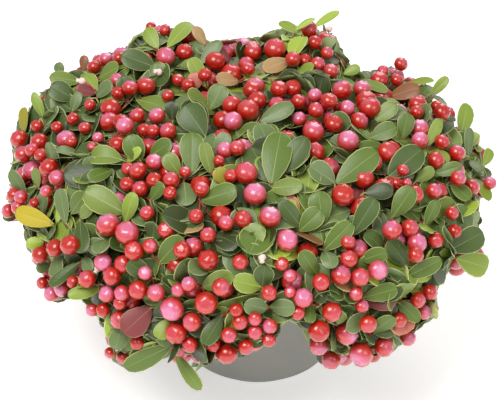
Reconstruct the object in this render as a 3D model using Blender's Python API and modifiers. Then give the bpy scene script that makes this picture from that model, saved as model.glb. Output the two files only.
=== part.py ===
"""A potted wintergreen: a low mound of leathery leaves and red berries over a round grey pot.

The plant is one short stem in the pot, sixteen boughs that spread from it like the ribs of an
umbrella, and a mass of foliage at the end of each bough. Every mass grows by one rule: shoots
fan out of the mass's stem, and each ends in a whorl of leaves over a hanging berry.
Metres, +Z up, the front of the plant towards -Y, the origin under the middle of the pot.
"""

import math
import random

import bmesh
import bpy
import numpy as np
from mathutils import Matrix, Vector

GAP = 0.0003

# Pot: nearly straight sides on a low foot that is set in under them
POT_HEIGHT = 0.088
POT_RIM_RADIUS = 0.0525
POT_BASE_RADIUS = 0.050
POT_FOOT_RADIUS = 0.0426
POT_FOOT_HEIGHT = 0.006
POT_WALL = 0.003
POT_FLOOR = 0.004
POT_CORNER = 0.0015
POT_STEPS = 40

# Potting soil: fills the pot to just under its rim, level round the stem and falling slightly to the wall
SOIL_LEVEL = 0.080
SOIL_CROWN = 0.0015
SOIL_FLAT_MARGIN = 0.004
SOIL_SHOULDER_RADIUS_SHARE = 0.7
SOIL_SHOULDER_FALL_SHARE = 0.4

# Root crown: the short stem that all the boughs leave
STEM_RADIUS = 0.007
STEM_FLARE_RADIUS = 0.0115
STEM_FLARE_HEIGHT = 0.003
STEM_TAPER = 0.03
STEM_TOP = 0.113
STEM_STEPS = 12
STEM_RINGS = 6
STEM_RING_CROWDING = 1.6

# Boughs
BOUGH_SIDES_RESOLUTION = 1
BOUGH_POINTS = 6
SKIRT_BOUGH_BASE_RADIUS = 0.0019
UPPER_BOUGH_BASE_RADIUS = 0.0024
BOUGH_TIP_RADIUS = 0.0014
SKIRT_BOUGH_START = 0.0905
UPPER_BOUGH_START = 0.1025
# How far a bough runs straight out, and how much of its length its two bends take
BOUGH_LEAVE_LENGTH = 0.02
BOUGH_BEND_SHARE = 0.4

# Crown: a mound with full shoulders, widest at CROWN_LEVEL
CROWN_OFFSET = -0.003
CROWN_LEVEL = 0.118
CROWN_HALF_WIDTH = 0.163
CROWN_HALF_DEPTH = 0.155
CROWN_RISE = 0.090
CROWN_HANG = 0.073
CROWN_FULLNESS = 2.5
# Lobes of the crown: azimuth and spread in degrees, how much it swells there, and how much lower it hangs
CROWN_LOBES = (
    (-153, 20, 0.10, 0.0),
    (-114, 30, 0.10, 0.0),
    (-74, 24, 0.0, -0.030),
    (-34, 18, 0.0, 0.020),
    (-10, 14, 0.0, -0.016),
    (34, 18, 0.0, 0.014),
    (80, 30, -0.02, -0.032),
    (128, 18, -0.05, 0.0),
    (157, 13, 0.10, 0.0),
)
# Tufts and dips of its top: where they lie, how wide they are, and how much higher the crown rises there
CROWN_TUFTS = (
    (-0.058, 0.060, 0.030, 0.016),
    (0.034, 0.060, 0.022, 0.016),
    (0.078, 0.040, 0.024, -0.014),
)
# The skirt parts over the front of the pot, a little to the right of the middle
PARTING_AZIMUTH = math.radians(9)
PARTING_SPREAD = math.radians(10)
LEAST_HANG = 0.008
NORMAL_STEP = 0.0005
LEAST_SHARE = 1e-6

# Masses: one at the top, a ring round it, and a ring that hangs over the rim of the pot
TOP_CENTRE_HEIGHT = 0.170
UPPER_COUNT = 6
UPPER_TURN = math.radians(9)
UPPER_CENTRE_RADIUS = 0.086
UPPER_CENTRE_HEIGHT = 0.150
SKIRT_COUNT = 9
SKIRT_CENTRE_RADIUS = 0.120
SKIRT_CENTRE_HEIGHT = 0.097
STEM_BACK_REACH = 0.028
MASS_STEM_RADIUS = 0.0016

# What every mass keeps clear of
CELL_MARGIN = 0.0006
LIMB_CLEARANCE = 0.0012
POT_CLEARANCE = 0.0040
ROOM_CENTRE_HEIGHT = 0.095
ROOM_RADIUS = 0.050
ROOM_HALF_HEIGHT = 0.034

# Core of a mass: how deep in the crown it stays, and how wide it passes by a limb
CORE_DEPTH = 0.017
CORE_MARGIN = 0.0012
CORE_FIT = 0.98
CORE_TRIMS = 12
CORE_TRIM = 0.94
LIMB_SHADOW = math.radians(38)
LIMB_SAMPLES = 6
RAY_STEP = 0.001
RAY_LENGTH = 0.130
# Where along an edge a piece is tested
PROBE_SHARES = (0.25, 0.5, 0.75)

# Shoots: their ends lie evenly over the crown
GOLDEN_ANGLE = math.pi * (3 - math.sqrt(5))
END_CANDIDATES = 4000
END_SPACING = 0.0375
LOWEST_END = -0.68
WHORL_DEPTH = 0.009
SHORTEST_SHOOT = 0.010
SHOOT_ROOT_RADIUS = 0.0014
SHOOT_TIP_RADIUS = 0.0012
SHOOT_SIDES = 3
MASS_STEM_SIDES = 6
FRUITING_EVERY = 3

# Leaves and berries
LEAF_LENGTH = 0.027
LEAF_WIDTH = 0.0155
LEAF_THICKNESS = 0.0011
LEAF_ROOT = 0.0006
LEAF_SIZES = (0.86, 1.08)
LEAVES_IN_WHORL = 4
LEAVES_BY_FRUIT = 3
LEAF_DROP = 0.0008
LEAF_STEP = 0.0022
LEAF_NECK = 0.007
LEAF_KEEP_OFF = 0.0011
LEAF_RISE = 0.007
LEAF_LIFTS = (22, 34, 12, 48, 62)
LEAF_SWINGS = (0, 25, -25, 50, -50, 80, -80)
BERRY_RADIUS = 0.0075
BERRY_FLATNESS = 0.94
BERRY_SEAT = 0.0058
BERRY_DROP = 0.0060
BERRY_STEP = 0.0075
BERRY_KEEP_OFF = 0.0072
BERRY_SWING = 0.9
BERRIES_IN_CLUSTER = 2
# A shoot nearer to upright than this has no under side for the berries to hang from
LEAST_SIDE = 0.2

# Edges shorter than this are left by the joining along its seams, and are closed up
SEAM_EDGE = 0.0017


def clear_scene():
    """Removes every object that the file opened with."""
    for found in list(bpy.data.objects):
        bpy.data.objects.remove(found)


def linear(channel):
    """An sRGB channel, 0 to 255, as a linear value."""
    share = channel / 255
    return share / 12.92 if share <= 0.04045 else ((share + 0.055) / 1.055) ** 2.4


def make_material(name, colour, roughness):
    """A Principled material of one sRGB colour, given as six hex digits."""
    material = bpy.data.materials.new(name)
    material.use_nodes = True
    channels = [linear(int(colour[i : i + 2], 16)) for i in (0, 2, 4)]
    shader = material.node_tree.nodes["Principled BSDF"]
    shader.inputs["Base Color"].default_value = (*channels, 1)
    shader.inputs["Roughness"].default_value = roughness
    shader.inputs["Metallic"].default_value = 0
    material.diffuse_color = (*channels, 1)
    return material


def link(name, mesh, collection, material=None):
    """A new object for a mesh, in a collection."""
    made = bpy.data.objects.new(name, mesh)
    collection.objects.link(made)
    if material is not None:
        mesh.materials.append(material)
    return made


def turned(name, profile, steps, material, collection):
    """A solid turned round the Z axis from a profile of (radius, height) points, by a Screw modifier."""
    mesh = bpy.data.meshes.new(name)
    edges = [(i, i + 1) for i in range(len(profile) - 1)]
    mesh.from_pydata([(r, 0, z) for r, z in profile], edges, [])
    made = link(name, mesh, collection, material)
    screw = made.modifiers.new("Turn", "SCREW")
    screw.axis = "Z"
    screw.angle = math.tau
    screw.steps = screw.render_steps = steps
    screw.use_merge_vertices = True
    screw.merge_threshold = 0.0001
    screw.use_smooth_shade = False
    return made


def quarter(centre_r, centre_z, radius, start, end, count=3):
    """Points of an arc of a profile, from one angle to another, in degrees."""
    angles = [math.radians(start + (end - start) * i / (count - 1)) for i in range(count)]
    return [(centre_r + radius * math.cos(a), centre_z + radius * math.sin(a)) for a in angles]


def pot_inner_radius(height):
    """The radius of the pot's inner wall at a height above its foot."""
    share = (height - POT_FOOT_HEIGHT) / (POT_HEIGHT - POT_FOOT_HEIGHT)
    return POT_BASE_RADIUS + (POT_RIM_RADIUS - POT_BASE_RADIUS) * share - POT_WALL


def pot_inside(height, offset=0.0):
    """The pot's inside from the middle of its floor to a height, set in by an offset.

    The floor lies in the foot and steps out over it.
    """
    foot = POT_FOOT_RADIUS - POT_WALL - offset
    step = POT_FOOT_HEIGHT + POT_FLOOR + offset
    floor = [(0, POT_FLOOR + offset), (foot, POT_FLOOR + offset), (foot, step)]
    wall = [(pot_inner_radius(z) - offset, z) for z in (step, height)]
    return floor + wall


def make_pot(collection):
    """The pot: its inside, a rounded rim, the outer side down to its corner, and the foot."""
    half_wall = POT_WALL / 2
    inside = pot_inside(POT_HEIGHT - half_wall)
    rim = quarter(POT_RIM_RADIUS - half_wall, POT_HEIGHT - half_wall, half_wall, 180, 0, 5)
    corner = quarter(POT_BASE_RADIUS - POT_CORNER, POT_FOOT_HEIGHT + POT_CORNER, POT_CORNER, 0, -90)
    foot = quarter(POT_FOOT_RADIUS - POT_CORNER, POT_CORNER, POT_CORNER, 0, -90)
    profile = [*inside[:-1], *rim, *corner, (POT_FOOT_RADIUS, POT_FOOT_HEIGHT), *foot, (0, 0)]
    material = make_material("grey_pot", "8b8d86", 0.55)
    return turned("pot", profile, POT_STEPS, material, collection)


def make_soil(collection):
    """The root ball: a plug of soil that fills the pot, with a slightly domed top."""
    sides = pot_inside(SOIL_LEVEL - SOIL_CROWN, GAP)
    # The root crown stands on a flat at the middle of the top
    flat = STEM_FLARE_RADIUS + SOIL_FLAT_MARGIN
    shoulder = SOIL_SHOULDER_RADIUS_SHARE * sides[-1][0]
    dome = [(flat, SOIL_LEVEL), (shoulder, SOIL_LEVEL - SOIL_SHOULDER_FALL_SHARE * SOIL_CROWN)]
    profile = [(0, SOIL_LEVEL), *dome, *reversed(sides)]
    material = make_material("potting_soil", "3a2a20", 0.95)
    return turned("potting_soil", profile, POT_STEPS, material, collection)


def stem_radius(height):
    """The root crown's radius: flared where it leaves the soil, then a slight taper to its top."""
    above = height - SOIL_LEVEL
    flare = (STEM_FLARE_RADIUS - STEM_RADIUS) * math.exp(-above / STEM_FLARE_HEIGHT)
    return STEM_RADIUS + flare - STEM_TAPER * above


def make_root_crown(collection, material):
    """The short stem, cut flat where it meets the soil."""
    foot = SOIL_LEVEL + GAP
    shares = [(i / (STEM_RINGS - 1)) ** STEM_RING_CROWDING for i in range(STEM_RINGS)]
    heights = [foot + (STEM_TOP - foot) * share for share in shares]
    sides = [(stem_radius(z), z) for z in reversed(heights)]
    profile = [(0, STEM_TOP), *sides, (0, foot)]
    return turned("root_crown", profile, STEM_STEPS, material, collection)


def polar(azimuth, radius, height):
    """The point at an azimuth from the front, -Y, turning towards +X, at a radius and a height."""
    return Vector((radius * math.sin(azimuth), -radius * math.cos(azimuth), height))


def bump(azimuths, middle, spread):
    """1 at an azimuth, and falling away from it like a bell on both sides."""
    off = (azimuths - middle + math.pi) % math.tau - math.pi
    return np.exp(-((off / spread) ** 2))


def crown_share(points):
    """How far out in the crown each point is: 0 at its middle and 1 on its surface, a lobed superellipsoid."""
    x = points[:, 0] - CROWN_OFFSET
    y = points[:, 1]
    z = points[:, 2] - CROWN_LEVEL
    spread = np.hypot(x / CROWN_HALF_WIDTH, y / CROWN_HALF_DEPTH)
    azimuths = np.arctan2(x, -y)
    swell, hang = np.zeros(len(x)), np.full(len(x), CROWN_HANG)
    for azimuth, width, swells, hangs in CROWN_LOBES:
        lobe = bump(azimuths, math.radians(azimuth), math.radians(width))
        swell += swells * lobe
        hang += hangs * lobe
    hang += (LEAST_HANG - hang) * bump(azimuths, PARTING_AZIMUTH, PARTING_SPREAD)
    top = np.full(len(x), CROWN_RISE)
    for tuft_x, tuft_y, width, rises in CROWN_TUFTS:
        top += rises * np.exp(-(((points[:, 0] - tuft_x) ** 2 + (y - tuft_y) ** 2) / width**2))
    rise = np.abs(z) / np.where(z > 0, top, hang)
    share = (spread**CROWN_FULLNESS + rise**CROWN_FULLNESS) ** (1 / CROWN_FULLNESS)
    return share / (1 + swell * spread**2)


def crown_depth(points):
    """How deep each point lies under the crown's surface, along the line from the crown's middle."""
    away = np.linalg.norm(points - np.array([CROWN_OFFSET, 0, CROWN_LEVEL]), axis=1)
    return away * (1 / np.maximum(crown_share(points), LEAST_SHARE) - 1)


def crown_normal(point):
    """The way out of the crown at a point of its surface: the steepest rise of the share."""
    ahead = crown_share(np.array(point) + NORMAL_STEP * np.eye(3))
    behind = crown_share(np.array(point) - NORMAL_STEP * np.eye(3))
    return Vector(ahead - behind).normalized()


class Bough:
    """One limb: where it leaves the root crown, its curve, and the mass at its end."""

    def __init__(self, name, start, centre, base_radius):
        self.name = name
        self.centre = centre
        self.base_radius = base_radius
        outward = Vector((centre.x, centre.y, 0))
        leave = outward.normalized() if outward.length > GAP else Vector((0, 0, 1))
        arrive = (centre - start - leave * BOUGH_LEAVE_LENGTH).normalized()
        self.tip = centre - arrive * STEM_BACK_REACH
        self.arrive = arrive
        bend = BOUGH_BEND_SHARE * (self.tip - start).length
        bends = (start, start + leave * bend, self.tip - arrive * bend, self.tip)
        self.path = [bezier(bends, i / (BOUGH_POINTS - 1)) for i in range(BOUGH_POINTS)]
        count = len(self.path) - 1
        taper = BOUGH_TIP_RADIUS - base_radius
        self.radii = [base_radius + taper * (i / count) for i in range(BOUGH_POINTS)]


def bezier(bends, t):
    """A point of the cubic Bezier curve through the first and last of four points."""
    a, b, c, d = bends
    s = 1 - t
    return a * s**3 + b * (3 * s * s * t) + c * (3 * s * t * t) + d * t**3


def plan_boughs():
    """Every bough with the centre of its mass: one up the middle, a ring of six and a skirt of nine."""
    start = Vector((0, 0, STEM_TOP + GAP))
    centre = Vector((0, 0, TOP_CENTRE_HEIGHT))
    boughs = [Bough("top", start, centre, UPPER_BOUGH_BASE_RADIUS)]
    for k in range(UPPER_COUNT):
        azimuth = UPPER_TURN + math.tau * k / UPPER_COUNT
        start = polar(azimuth, stem_radius(UPPER_BOUGH_START) + GAP, UPPER_BOUGH_START)
        centre = polar(azimuth, UPPER_CENTRE_RADIUS, UPPER_CENTRE_HEIGHT)
        boughs.append(Bough(f"upper_{k + 1}", start, centre, UPPER_BOUGH_BASE_RADIUS))
    for k in range(SKIRT_COUNT):
        azimuth = PARTING_AZIMUTH + math.tau * (k + 0.5) / SKIRT_COUNT
        start = polar(azimuth, stem_radius(SKIRT_BOUGH_START) + GAP, SKIRT_BOUGH_START)
        centre = polar(azimuth, SKIRT_CENTRE_RADIUS, SKIRT_CENTRE_HEIGHT)
        boughs.append(Bough(f"skirt_{k + 1}", start, centre, SKIRT_BOUGH_BASE_RADIUS))
    return boughs


def make_bough(bough, collection, material):
    """The limb as a tapering tube: a curve with a bevel, made a mesh with its end caps welded."""
    curve = bpy.data.curves.new(bough.name, "CURVE")
    curve.dimensions = "3D"
    curve.bevel_depth = 1.0
    curve.bevel_resolution = BOUGH_SIDES_RESOLUTION
    curve.use_fill_caps = True
    spline = curve.splines.new("POLY")
    spline.points.add(len(bough.path) - 1)
    for point, place, radius in zip(spline.points, bough.path, bough.radii):
        point.co = (*place, 1)
        point.radius = radius
    drawn = bpy.data.objects.new("drawn", curve)
    collection.objects.link(drawn)
    bpy.context.view_layer.update()
    mesh = bpy.data.meshes.new_from_object(drawn.evaluated_get(bpy.context.evaluated_depsgraph_get()))
    place = drawn.matrix_world.copy()
    bpy.data.objects.remove(drawn)
    shape = bmesh.new()
    shape.from_mesh(mesh)
    bmesh.ops.remove_doubles(shape, verts=shape.verts, dist=0.00001)
    bmesh.ops.recalc_face_normals(shape, faces=shape.faces)
    shape.to_mesh(mesh)
    shape.free()
    mesh.materials.clear()
    made = link(f"bough_{bough.name}", mesh, collection, material)
    made.matrix_world = place
    return made


class Space:
    """The room that one mass keeps to: its share of the crown, clear of the limbs, the pot and the middle."""

    def __init__(self, own, boughs):
        self.own = own
        self.centre = np.array(own.centre)
        self.others = np.array([b.centre for b in boughs if b is not own])
        self.limb_points, self.limb_radii = limb_samples(boughs)
        self.taken_points, self.taken_radii = np.empty((0, 3)), np.empty(0)

    def holds(self, points, depth=0.0, margin=CELL_MARGIN):
        """Whether each point lies in the space, a depth under the crown's surface and a margin inside its walls."""
        points = np.asarray(points, float)
        radius = np.hypot(points[:, 0], points[:, 1])
        height = points[:, 2]
        mine = np.linalg.norm(points - self.centre, axis=1)
        theirs = np.linalg.norm(points[:, None] - self.others[None], axis=2).min(axis=1)
        in_cell = theirs - mine > 2 * margin
        off_pot = (radius > POT_RIM_RADIUS + POT_CLEARANCE) | (height > POT_HEIGHT + POT_CLEARANCE)
        room = (radius / ROOM_RADIUS) ** 2 + ((height - ROOM_CENTRE_HEIGHT) / ROOM_HALF_HEIGHT) ** 2
        ways = np.linalg.norm(points[:, None] - self.limb_points[None], axis=2) - self.limb_radii
        clear = ways.min(axis=1) > LIMB_CLEARANCE
        return in_cell & off_pot & (room > 1) & clear & (crown_depth(points) > depth)

    def take(self, points, radius):
        """Marks points of a leaf or a berry, with the radius that others keep off each."""
        self.taken_points = np.concatenate([self.taken_points, points])
        self.taken_radii = np.concatenate([self.taken_radii, np.full(len(points), radius)])

    def free(self, points):
        """Whether each point keeps off all that is marked."""
        ways = np.linalg.norm(np.asarray(points)[:, None] - self.taken_points[None], axis=2)
        return (ways > self.taken_radii).all(axis=1)

    def owns(self, site):
        """Whether a point of the crown is nearer to this mass's centre than to any other's."""
        point = np.array(site)
        return np.linalg.norm(point - self.centre) < np.linalg.norm(point - self.others, axis=1).min()

    def core_way(self, direction):
        """How far the core reaches from its centre: short of its walls, and of any limb that lies that way."""
        steps = np.arange(RAY_STEP, RAY_LENGTH, RAY_STEP)
        line = self.centre + steps[:, None] * np.array(direction)[None]
        inside = self.holds(line, CORE_DEPTH, CORE_MARGIN)
        free = steps[max(int(np.argmin(inside)) - 1, 0)]
        ways = self.limb_points - self.centre
        lengths = np.linalg.norm(ways, axis=1)
        beside = ways @ np.array(direction) > lengths * math.cos(LIMB_SHADOW)
        limbs = (lengths - self.limb_radii)[beside] - LIMB_CLEARANCE
        return CORE_FIT * min([free, *limbs])


def limb_samples(boughs):
    """Points close together along every bough, with the bough's radius at each."""
    places, radii = [], []
    shares = np.linspace(0, 1, LIMB_SAMPLES)[:, None]
    for bough in boughs:
        for i in range(len(bough.path) - 1):
            a, b = np.array(bough.path[i]), np.array(bough.path[i + 1])
            places.append(a + (b - a) * shares)
            radii.append(bough.radii[i] + (bough.radii[i + 1] - bough.radii[i]) * shares[:, 0])
    return np.concatenate(places), np.concatenate(radii)


def facing(direction, roll=0.0):
    """A rotation that turns +Z to a direction, after a roll about +Z."""
    turn = Vector((0, 0, 1)).rotation_difference(Vector(direction)).to_matrix().to_4x4()
    return turn @ Matrix.Rotation(roll, 4, "Z")


def probes(mesh, matrix):
    """Points all over a convex piece: its corners, and three points on each of its edges."""
    corners = np.array([matrix @ v.co for v in mesh.vertices])
    edges = np.array([e.vertices[:] for e in mesh.edges])
    starts, ways = corners[edges[:, 0]], corners[edges[:, 1]] - corners[edges[:, 0]]
    return np.concatenate([corners, *(starts + ways * share for share in PROBE_SHARES)])


def from_bmesh(name, shape):
    """A mesh that takes over a bmesh."""
    mesh = bpy.data.meshes.new(name)
    shape.to_mesh(mesh)
    shape.free()
    return mesh


def leaf_mesh():
    """A leaf: a six-sided sphere pressed flat into a lens, with its root at the origin and its tip along +X."""
    shape = bmesh.new()
    bmesh.ops.create_uvsphere(shape, u_segments=6, v_segments=2, radius=1)
    bmesh.ops.rotate(shape, verts=shape.verts, matrix=Matrix.Rotation(math.pi / 6, 3, "Z"))
    half_width = LEAF_WIDTH / (2 * math.sin(math.pi / 3))
    bmesh.ops.scale(shape, verts=shape.verts, vec=(LEAF_LENGTH / 2, half_width, LEAF_THICKNESS / 2))
    bmesh.ops.translate(shape, verts=shape.verts, vec=(LEAF_LENGTH / 2 - LEAF_ROOT, 0, 0))
    return from_bmesh("leaf", shape)


def berry_mesh():
    """A berry: a slightly flattened sphere about the origin."""
    shape = bmesh.new()
    bmesh.ops.create_icosphere(shape, subdivisions=1, radius=BERRY_RADIUS)
    bmesh.ops.scale(shape, verts=shape.verts, vec=(1, 1, BERRY_FLATNESS))
    return from_bmesh("berry", shape)


def rod_mesh(name, start, end, root_radius, tip_radius, sides):
    """A straight tapering rod between two points."""
    shape = bmesh.new()
    way = end - start
    bmesh.ops.create_cone(
        shape,
        cap_ends=True,
        cap_tris=True,
        segments=sides,
        radius1=root_radius,
        radius2=tip_radius,
        depth=way.length,
    )
    bmesh.ops.transform(shape, verts=shape.verts, matrix=Matrix.Translation((start + end) / 2) @ facing(way))
    return from_bmesh(name, shape)


def core_mesh(space):
    """The dense inside of a mass: a sphere whose corners are drawn in to fit its space.

    One corner looks straight back along the bough, so that the surface dips round the bough's tip.
    """
    shape = bmesh.new()
    bmesh.ops.create_icosphere(shape, subdivisions=2, radius=1)
    bmesh.ops.transform(shape, verts=shape.verts, matrix=facing(-space.own.arrive))
    middle = space.own.centre
    for corner in shape.verts:
        direction = corner.co.normalized()
        corner.co = middle + direction * space.core_way(direction)
    # A face can still cut a corner of the pot or of the middle, so its corners give way until none does
    for _ in range(CORE_TRIMS):
        outside = [f for f in shape.faces if not space.holds(face_probes(f), margin=0).all()]
        for corner in {v for face in outside for v in face.verts}:
            corner.co = middle + (corner.co - middle) * CORE_TRIM
    return from_bmesh("core", shape)


def face_probes(face):
    """Points over a triangle: its middle and three on each side."""
    corners = [np.array(v.co) for v in face.verts]
    points = [sum(corners) / 3]
    for a, b in zip(corners, corners[1:] + corners[:1]):
        points += [a + (b - a) * share for share in PROBE_SHARES]
    return np.array(points)


def shoot_ends():
    """Points on the surface of the crown, from its top to where it turns under, each clear of those before it.

    They are picked from a close spiral of candidates, turned by the golden angle at each step.
    """
    middle = np.array([CROWN_OFFSET, 0, CROWN_LEVEL])
    rise = 1 - (np.arange(END_CANDIDATES) + 0.5) / END_CANDIDATES * (1 - LOWEST_END)
    side = np.sqrt(1 - rise**2)
    angle = np.arange(END_CANDIDATES) * GOLDEN_ANGLE
    x = side * np.sin(angle) * CROWN_HALF_WIDTH
    y = side * np.cos(angle) * CROWN_HALF_DEPTH
    z = rise * np.where(rise > 0, CROWN_RISE, CROWN_HANG)
    ways = np.stack([x, y, z], axis=1)
    ends = []
    for end in middle + ways / crown_share(middle + ways)[:, None]:
        if not ends or np.linalg.norm(np.array(ends) - end, axis=1).min() > END_SPACING:
            ends.append(end)
    return [Vector(end) for end in ends]


def grow(space, ends, parts, rng):
    """Adds a mass's stem, shoots, leaves and berries to a collection, leaving out what would leave its space."""
    own = space.own
    leaf, berry = leaf_mesh(), berry_mesh()
    start = own.tip + own.arrive * GAP
    stem = rod_mesh("stem", start, own.centre, BOUGH_TIP_RADIUS, MASS_STEM_RADIUS, MASS_STEM_SIDES)
    link("stem", stem, parts)
    grown = 0
    for site in ends:
        way = site - own.centre
        if not space.owns(site) or way.length < SHORTEST_SHOOT + WHORL_DEPTH:
            continue
        up = crown_normal(site)
        end = site - up * WHORL_DEPTH
        direction = (end - own.centre).normalized()
        shoot = rod_mesh("shoot", own.centre, end, SHOOT_ROOT_RADIUS, SHOOT_TIP_RADIUS, SHOOT_SIDES)
        if not space.holds(probes(shoot, Matrix())).all():
            continue
        link("shoot", shoot, parts)
        fruiting = grown % FRUITING_EVERY == 0
        berries, leaves = (BERRIES_IN_CLUSTER, LEAVES_BY_FRUIT) if fruiting else (1, LEAVES_IN_WHORL)
        add_berries(space, parts, berry, end, direction, berries, rng)
        add_leaves(space, parts, leaf, end, direction, up, leaves, rng)
        grown += 1


def add_leaves(space, parts, leaf, end, direction, up, count, rng):
    """Leaves round a shoot's end, each at the first lift and swing that keep it in the space and off the rest."""
    start = rng.uniform(0, math.tau)
    for i in range(count):
        size = Matrix.Scale(rng.uniform(*LEAF_SIZES), 4)
        root = Matrix.Translation(end - direction * (LEAF_DROP + LEAF_STEP * i))
        for lift, swing in ((a, w) for a in LEAF_LIFTS for w in LEAF_SWINGS):
            roll = start + i * GOLDEN_ANGLE + math.radians(swing)
            # The leaf lies along +X, so a turn about Y raises it from the crown's surface
            place = root @ facing(up, roll) @ Matrix.Rotation(-math.radians(lift), 4, "Y") @ size
            blade = probes(leaf, place)
            outer = blade[np.linalg.norm(blade - np.array(place.translation), axis=1) > LEAF_NECK]
            over_core = crown_depth(outer) < CORE_DEPTH
            if over_core.all() and space.holds(blade, -LEAF_RISE).all() and space.free(outer).all():
                link("leaf", leaf, parts).matrix_world = place
                space.take(outer, LEAF_KEEP_OFF)
                break


def add_berries(space, parts, berry, end, direction, count, rng):
    """Berries under a shoot's end, seated against it on opposite sides and one below the other."""
    down = Vector((0, 0, -1)) + direction * direction.z
    flank = down.normalized() if down.length > LEAST_SIDE else facing(direction) @ Vector((1, 0, 0))
    start = rng.uniform(-BERRY_SWING, BERRY_SWING)
    for i in range(count):
        side = Matrix.Rotation(start + i * math.pi, 3, direction) @ flank
        back = direction * (BERRY_DROP + i * BERRY_STEP)
        place = Matrix.Translation(end - back + side * BERRY_SEAT)
        if space.holds(probes(berry, place)).all() and space.free([place.translation]).all():
            link("berry", berry, parts).matrix_world = place
            space.take(np.array([place.translation]), BERRY_KEEP_OFF)


def fuse(name, core, parts, material, collection):
    """Joins the core and the parts of one mass by one Boolean union, and removes the parts."""
    body = link("body", core, collection)
    join = body.modifiers.new("Join", "BOOLEAN")
    join.operation = "UNION"
    join.solver = "MANIFOLD"
    join.operand_type = "COLLECTION"
    join.collection = parts
    bpy.context.view_layer.update()
    mesh = bpy.data.meshes.new_from_object(body.evaluated_get(bpy.context.evaluated_depsgraph_get()))
    bpy.data.objects.remove(body)
    for used in list(parts.objects):
        bpy.data.objects.remove(used)
    keep_outer_body(mesh)
    mesh.materials.clear()
    return link(name, mesh, collection, material)


def keep_outer_body(mesh):
    """Keeps the largest closed surface, which fills sealed hollows and drops loose scraps."""
    shape = bmesh.new()
    shape.from_mesh(mesh)
    bmesh.ops.triangulate(shape, faces=shape.faces)
    waiting = set(shape.faces)
    bodies = []
    while waiting:
        body, edge = set(), [waiting.pop()]
        while edge:
            face = edge.pop()
            body.add(face)
            near = {other for side in face.edges for other in side.link_faces} & waiting
            waiting -= near
            edge.extend(near)
        bodies.append(body)
    outer = max(bodies, key=len)
    bmesh.ops.delete(shape, geom=[f for f in shape.faces if f not in outer], context="FACES")
    close_short_edges(shape)
    shape.to_mesh(mesh)
    shape.free()


def close_short_edges(shape):
    """Closes up edges under a length, shortest first, each where its ends share just the two faces' corners."""
    for edge in sorted(shape.edges, key=lambda e: e.calc_length()):
        if not edge.is_valid or edge.calc_length() > SEAM_EDGE:
            continue
        a, b = edge.verts
        if len(neighbours(a) & neighbours(b)) == 2:
            bmesh.ops.pointmerge(shape, verts=[a, b], merge_co=(a.co + b.co) / 2)


def neighbours(corner):
    """The corners at the far ends of a corner's edges."""
    return {edge.other_vert(corner) for edge in corner.link_edges}


def make_plant():
    """The potted plant, piece by piece from the pot up."""
    clear_scene()
    collection = bpy.data.collections.new("potted_wintergreen")
    bpy.context.scene.collection.children.link(collection)
    make_pot(collection)
    make_soil(collection)
    bark = make_material("woody_stem", "6b4a36", 0.8)
    foliage = make_material("foliage", "5d7d3f", 0.45)
    make_root_crown(collection, bark)
    boughs = plan_boughs()
    for bough in boughs:
        make_bough(bough, collection, bark)
    parts = bpy.data.collections.new("growing_parts")
    bpy.context.scene.collection.children.link(parts)
    ends = shoot_ends()
    for seed, bough in enumerate(boughs, start=1):
        space = Space(bough, boughs)
        grow(space, ends, parts, random.Random(seed))
        fuse(f"foliage_{bough.name}", core_mesh(space), parts, foliage, collection)
    bpy.data.collections.remove(parts)


make_plant()
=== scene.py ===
"""The looks of a potted wintergreen: moulded pot, compost, bark, twigs, waxy berries and leathery leaves.

Metres, +Z up, the front of the plant towards -Y, the origin under the middle of the pot. The crown grows
by one rule: sixteen boughs end in masses, each mass fans out into shoots and the shoots into fine twigs.
A twig ends at each leaf and berry that stands out in the photograph. All round between them the ends lie
evenly over the mound, each in a whorl of leaves and many of them under a cluster of berries.
"""

import math
from itertools import product

import bpy
import numpy as np
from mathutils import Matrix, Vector


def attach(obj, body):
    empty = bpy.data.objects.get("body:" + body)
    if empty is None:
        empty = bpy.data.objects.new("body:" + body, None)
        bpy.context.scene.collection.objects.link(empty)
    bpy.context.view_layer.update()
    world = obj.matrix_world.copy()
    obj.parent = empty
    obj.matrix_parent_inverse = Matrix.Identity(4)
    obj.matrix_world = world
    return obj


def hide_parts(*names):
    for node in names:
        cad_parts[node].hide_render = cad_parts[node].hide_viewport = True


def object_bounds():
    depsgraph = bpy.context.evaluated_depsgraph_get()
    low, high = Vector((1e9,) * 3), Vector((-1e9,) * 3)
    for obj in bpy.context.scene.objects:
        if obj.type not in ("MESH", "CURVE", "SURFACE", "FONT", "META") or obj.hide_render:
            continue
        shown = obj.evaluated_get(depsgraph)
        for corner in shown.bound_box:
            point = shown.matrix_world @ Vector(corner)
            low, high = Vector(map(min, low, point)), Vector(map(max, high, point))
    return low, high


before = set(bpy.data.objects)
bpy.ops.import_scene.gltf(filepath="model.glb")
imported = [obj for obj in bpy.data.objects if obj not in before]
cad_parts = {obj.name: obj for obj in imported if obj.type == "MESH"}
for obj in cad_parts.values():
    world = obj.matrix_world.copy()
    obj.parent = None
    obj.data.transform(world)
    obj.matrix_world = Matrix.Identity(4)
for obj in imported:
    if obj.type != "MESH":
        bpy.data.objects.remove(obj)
cad_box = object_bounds()


# Pot
# An injection-moulded pot of matt grey polypropylene: nearly straight sides, a rounded rim and a low foot
# set in under them. The mould leaves a fine even grain and a satin sheen.

POT_HEIGHT = 0.088
POT_RIM_RADIUS = 0.0525
POT_BASE_RADIUS = 0.050
POT_FOOT_RADIUS = 0.0426
POT_FOOT_HEIGHT = 0.006
POT_WALL = 0.003
POT_FLOOR = 0.004
POT_CORNER = 0.0015
POT_SIDES = 144
POT_LEAN = (POT_RIM_RADIUS - POT_BASE_RADIUS) / (POT_HEIGHT - POT_FOOT_HEIGHT)
# The smallest ring of the turned surfaces, round the point that closes them
POLE_RADIUS = 0.004
# Steps by which the straight stretches of the pot's profile keep off the round corners beside them
SHORT_STEP = 0.0004
STEP = 0.0005


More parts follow.
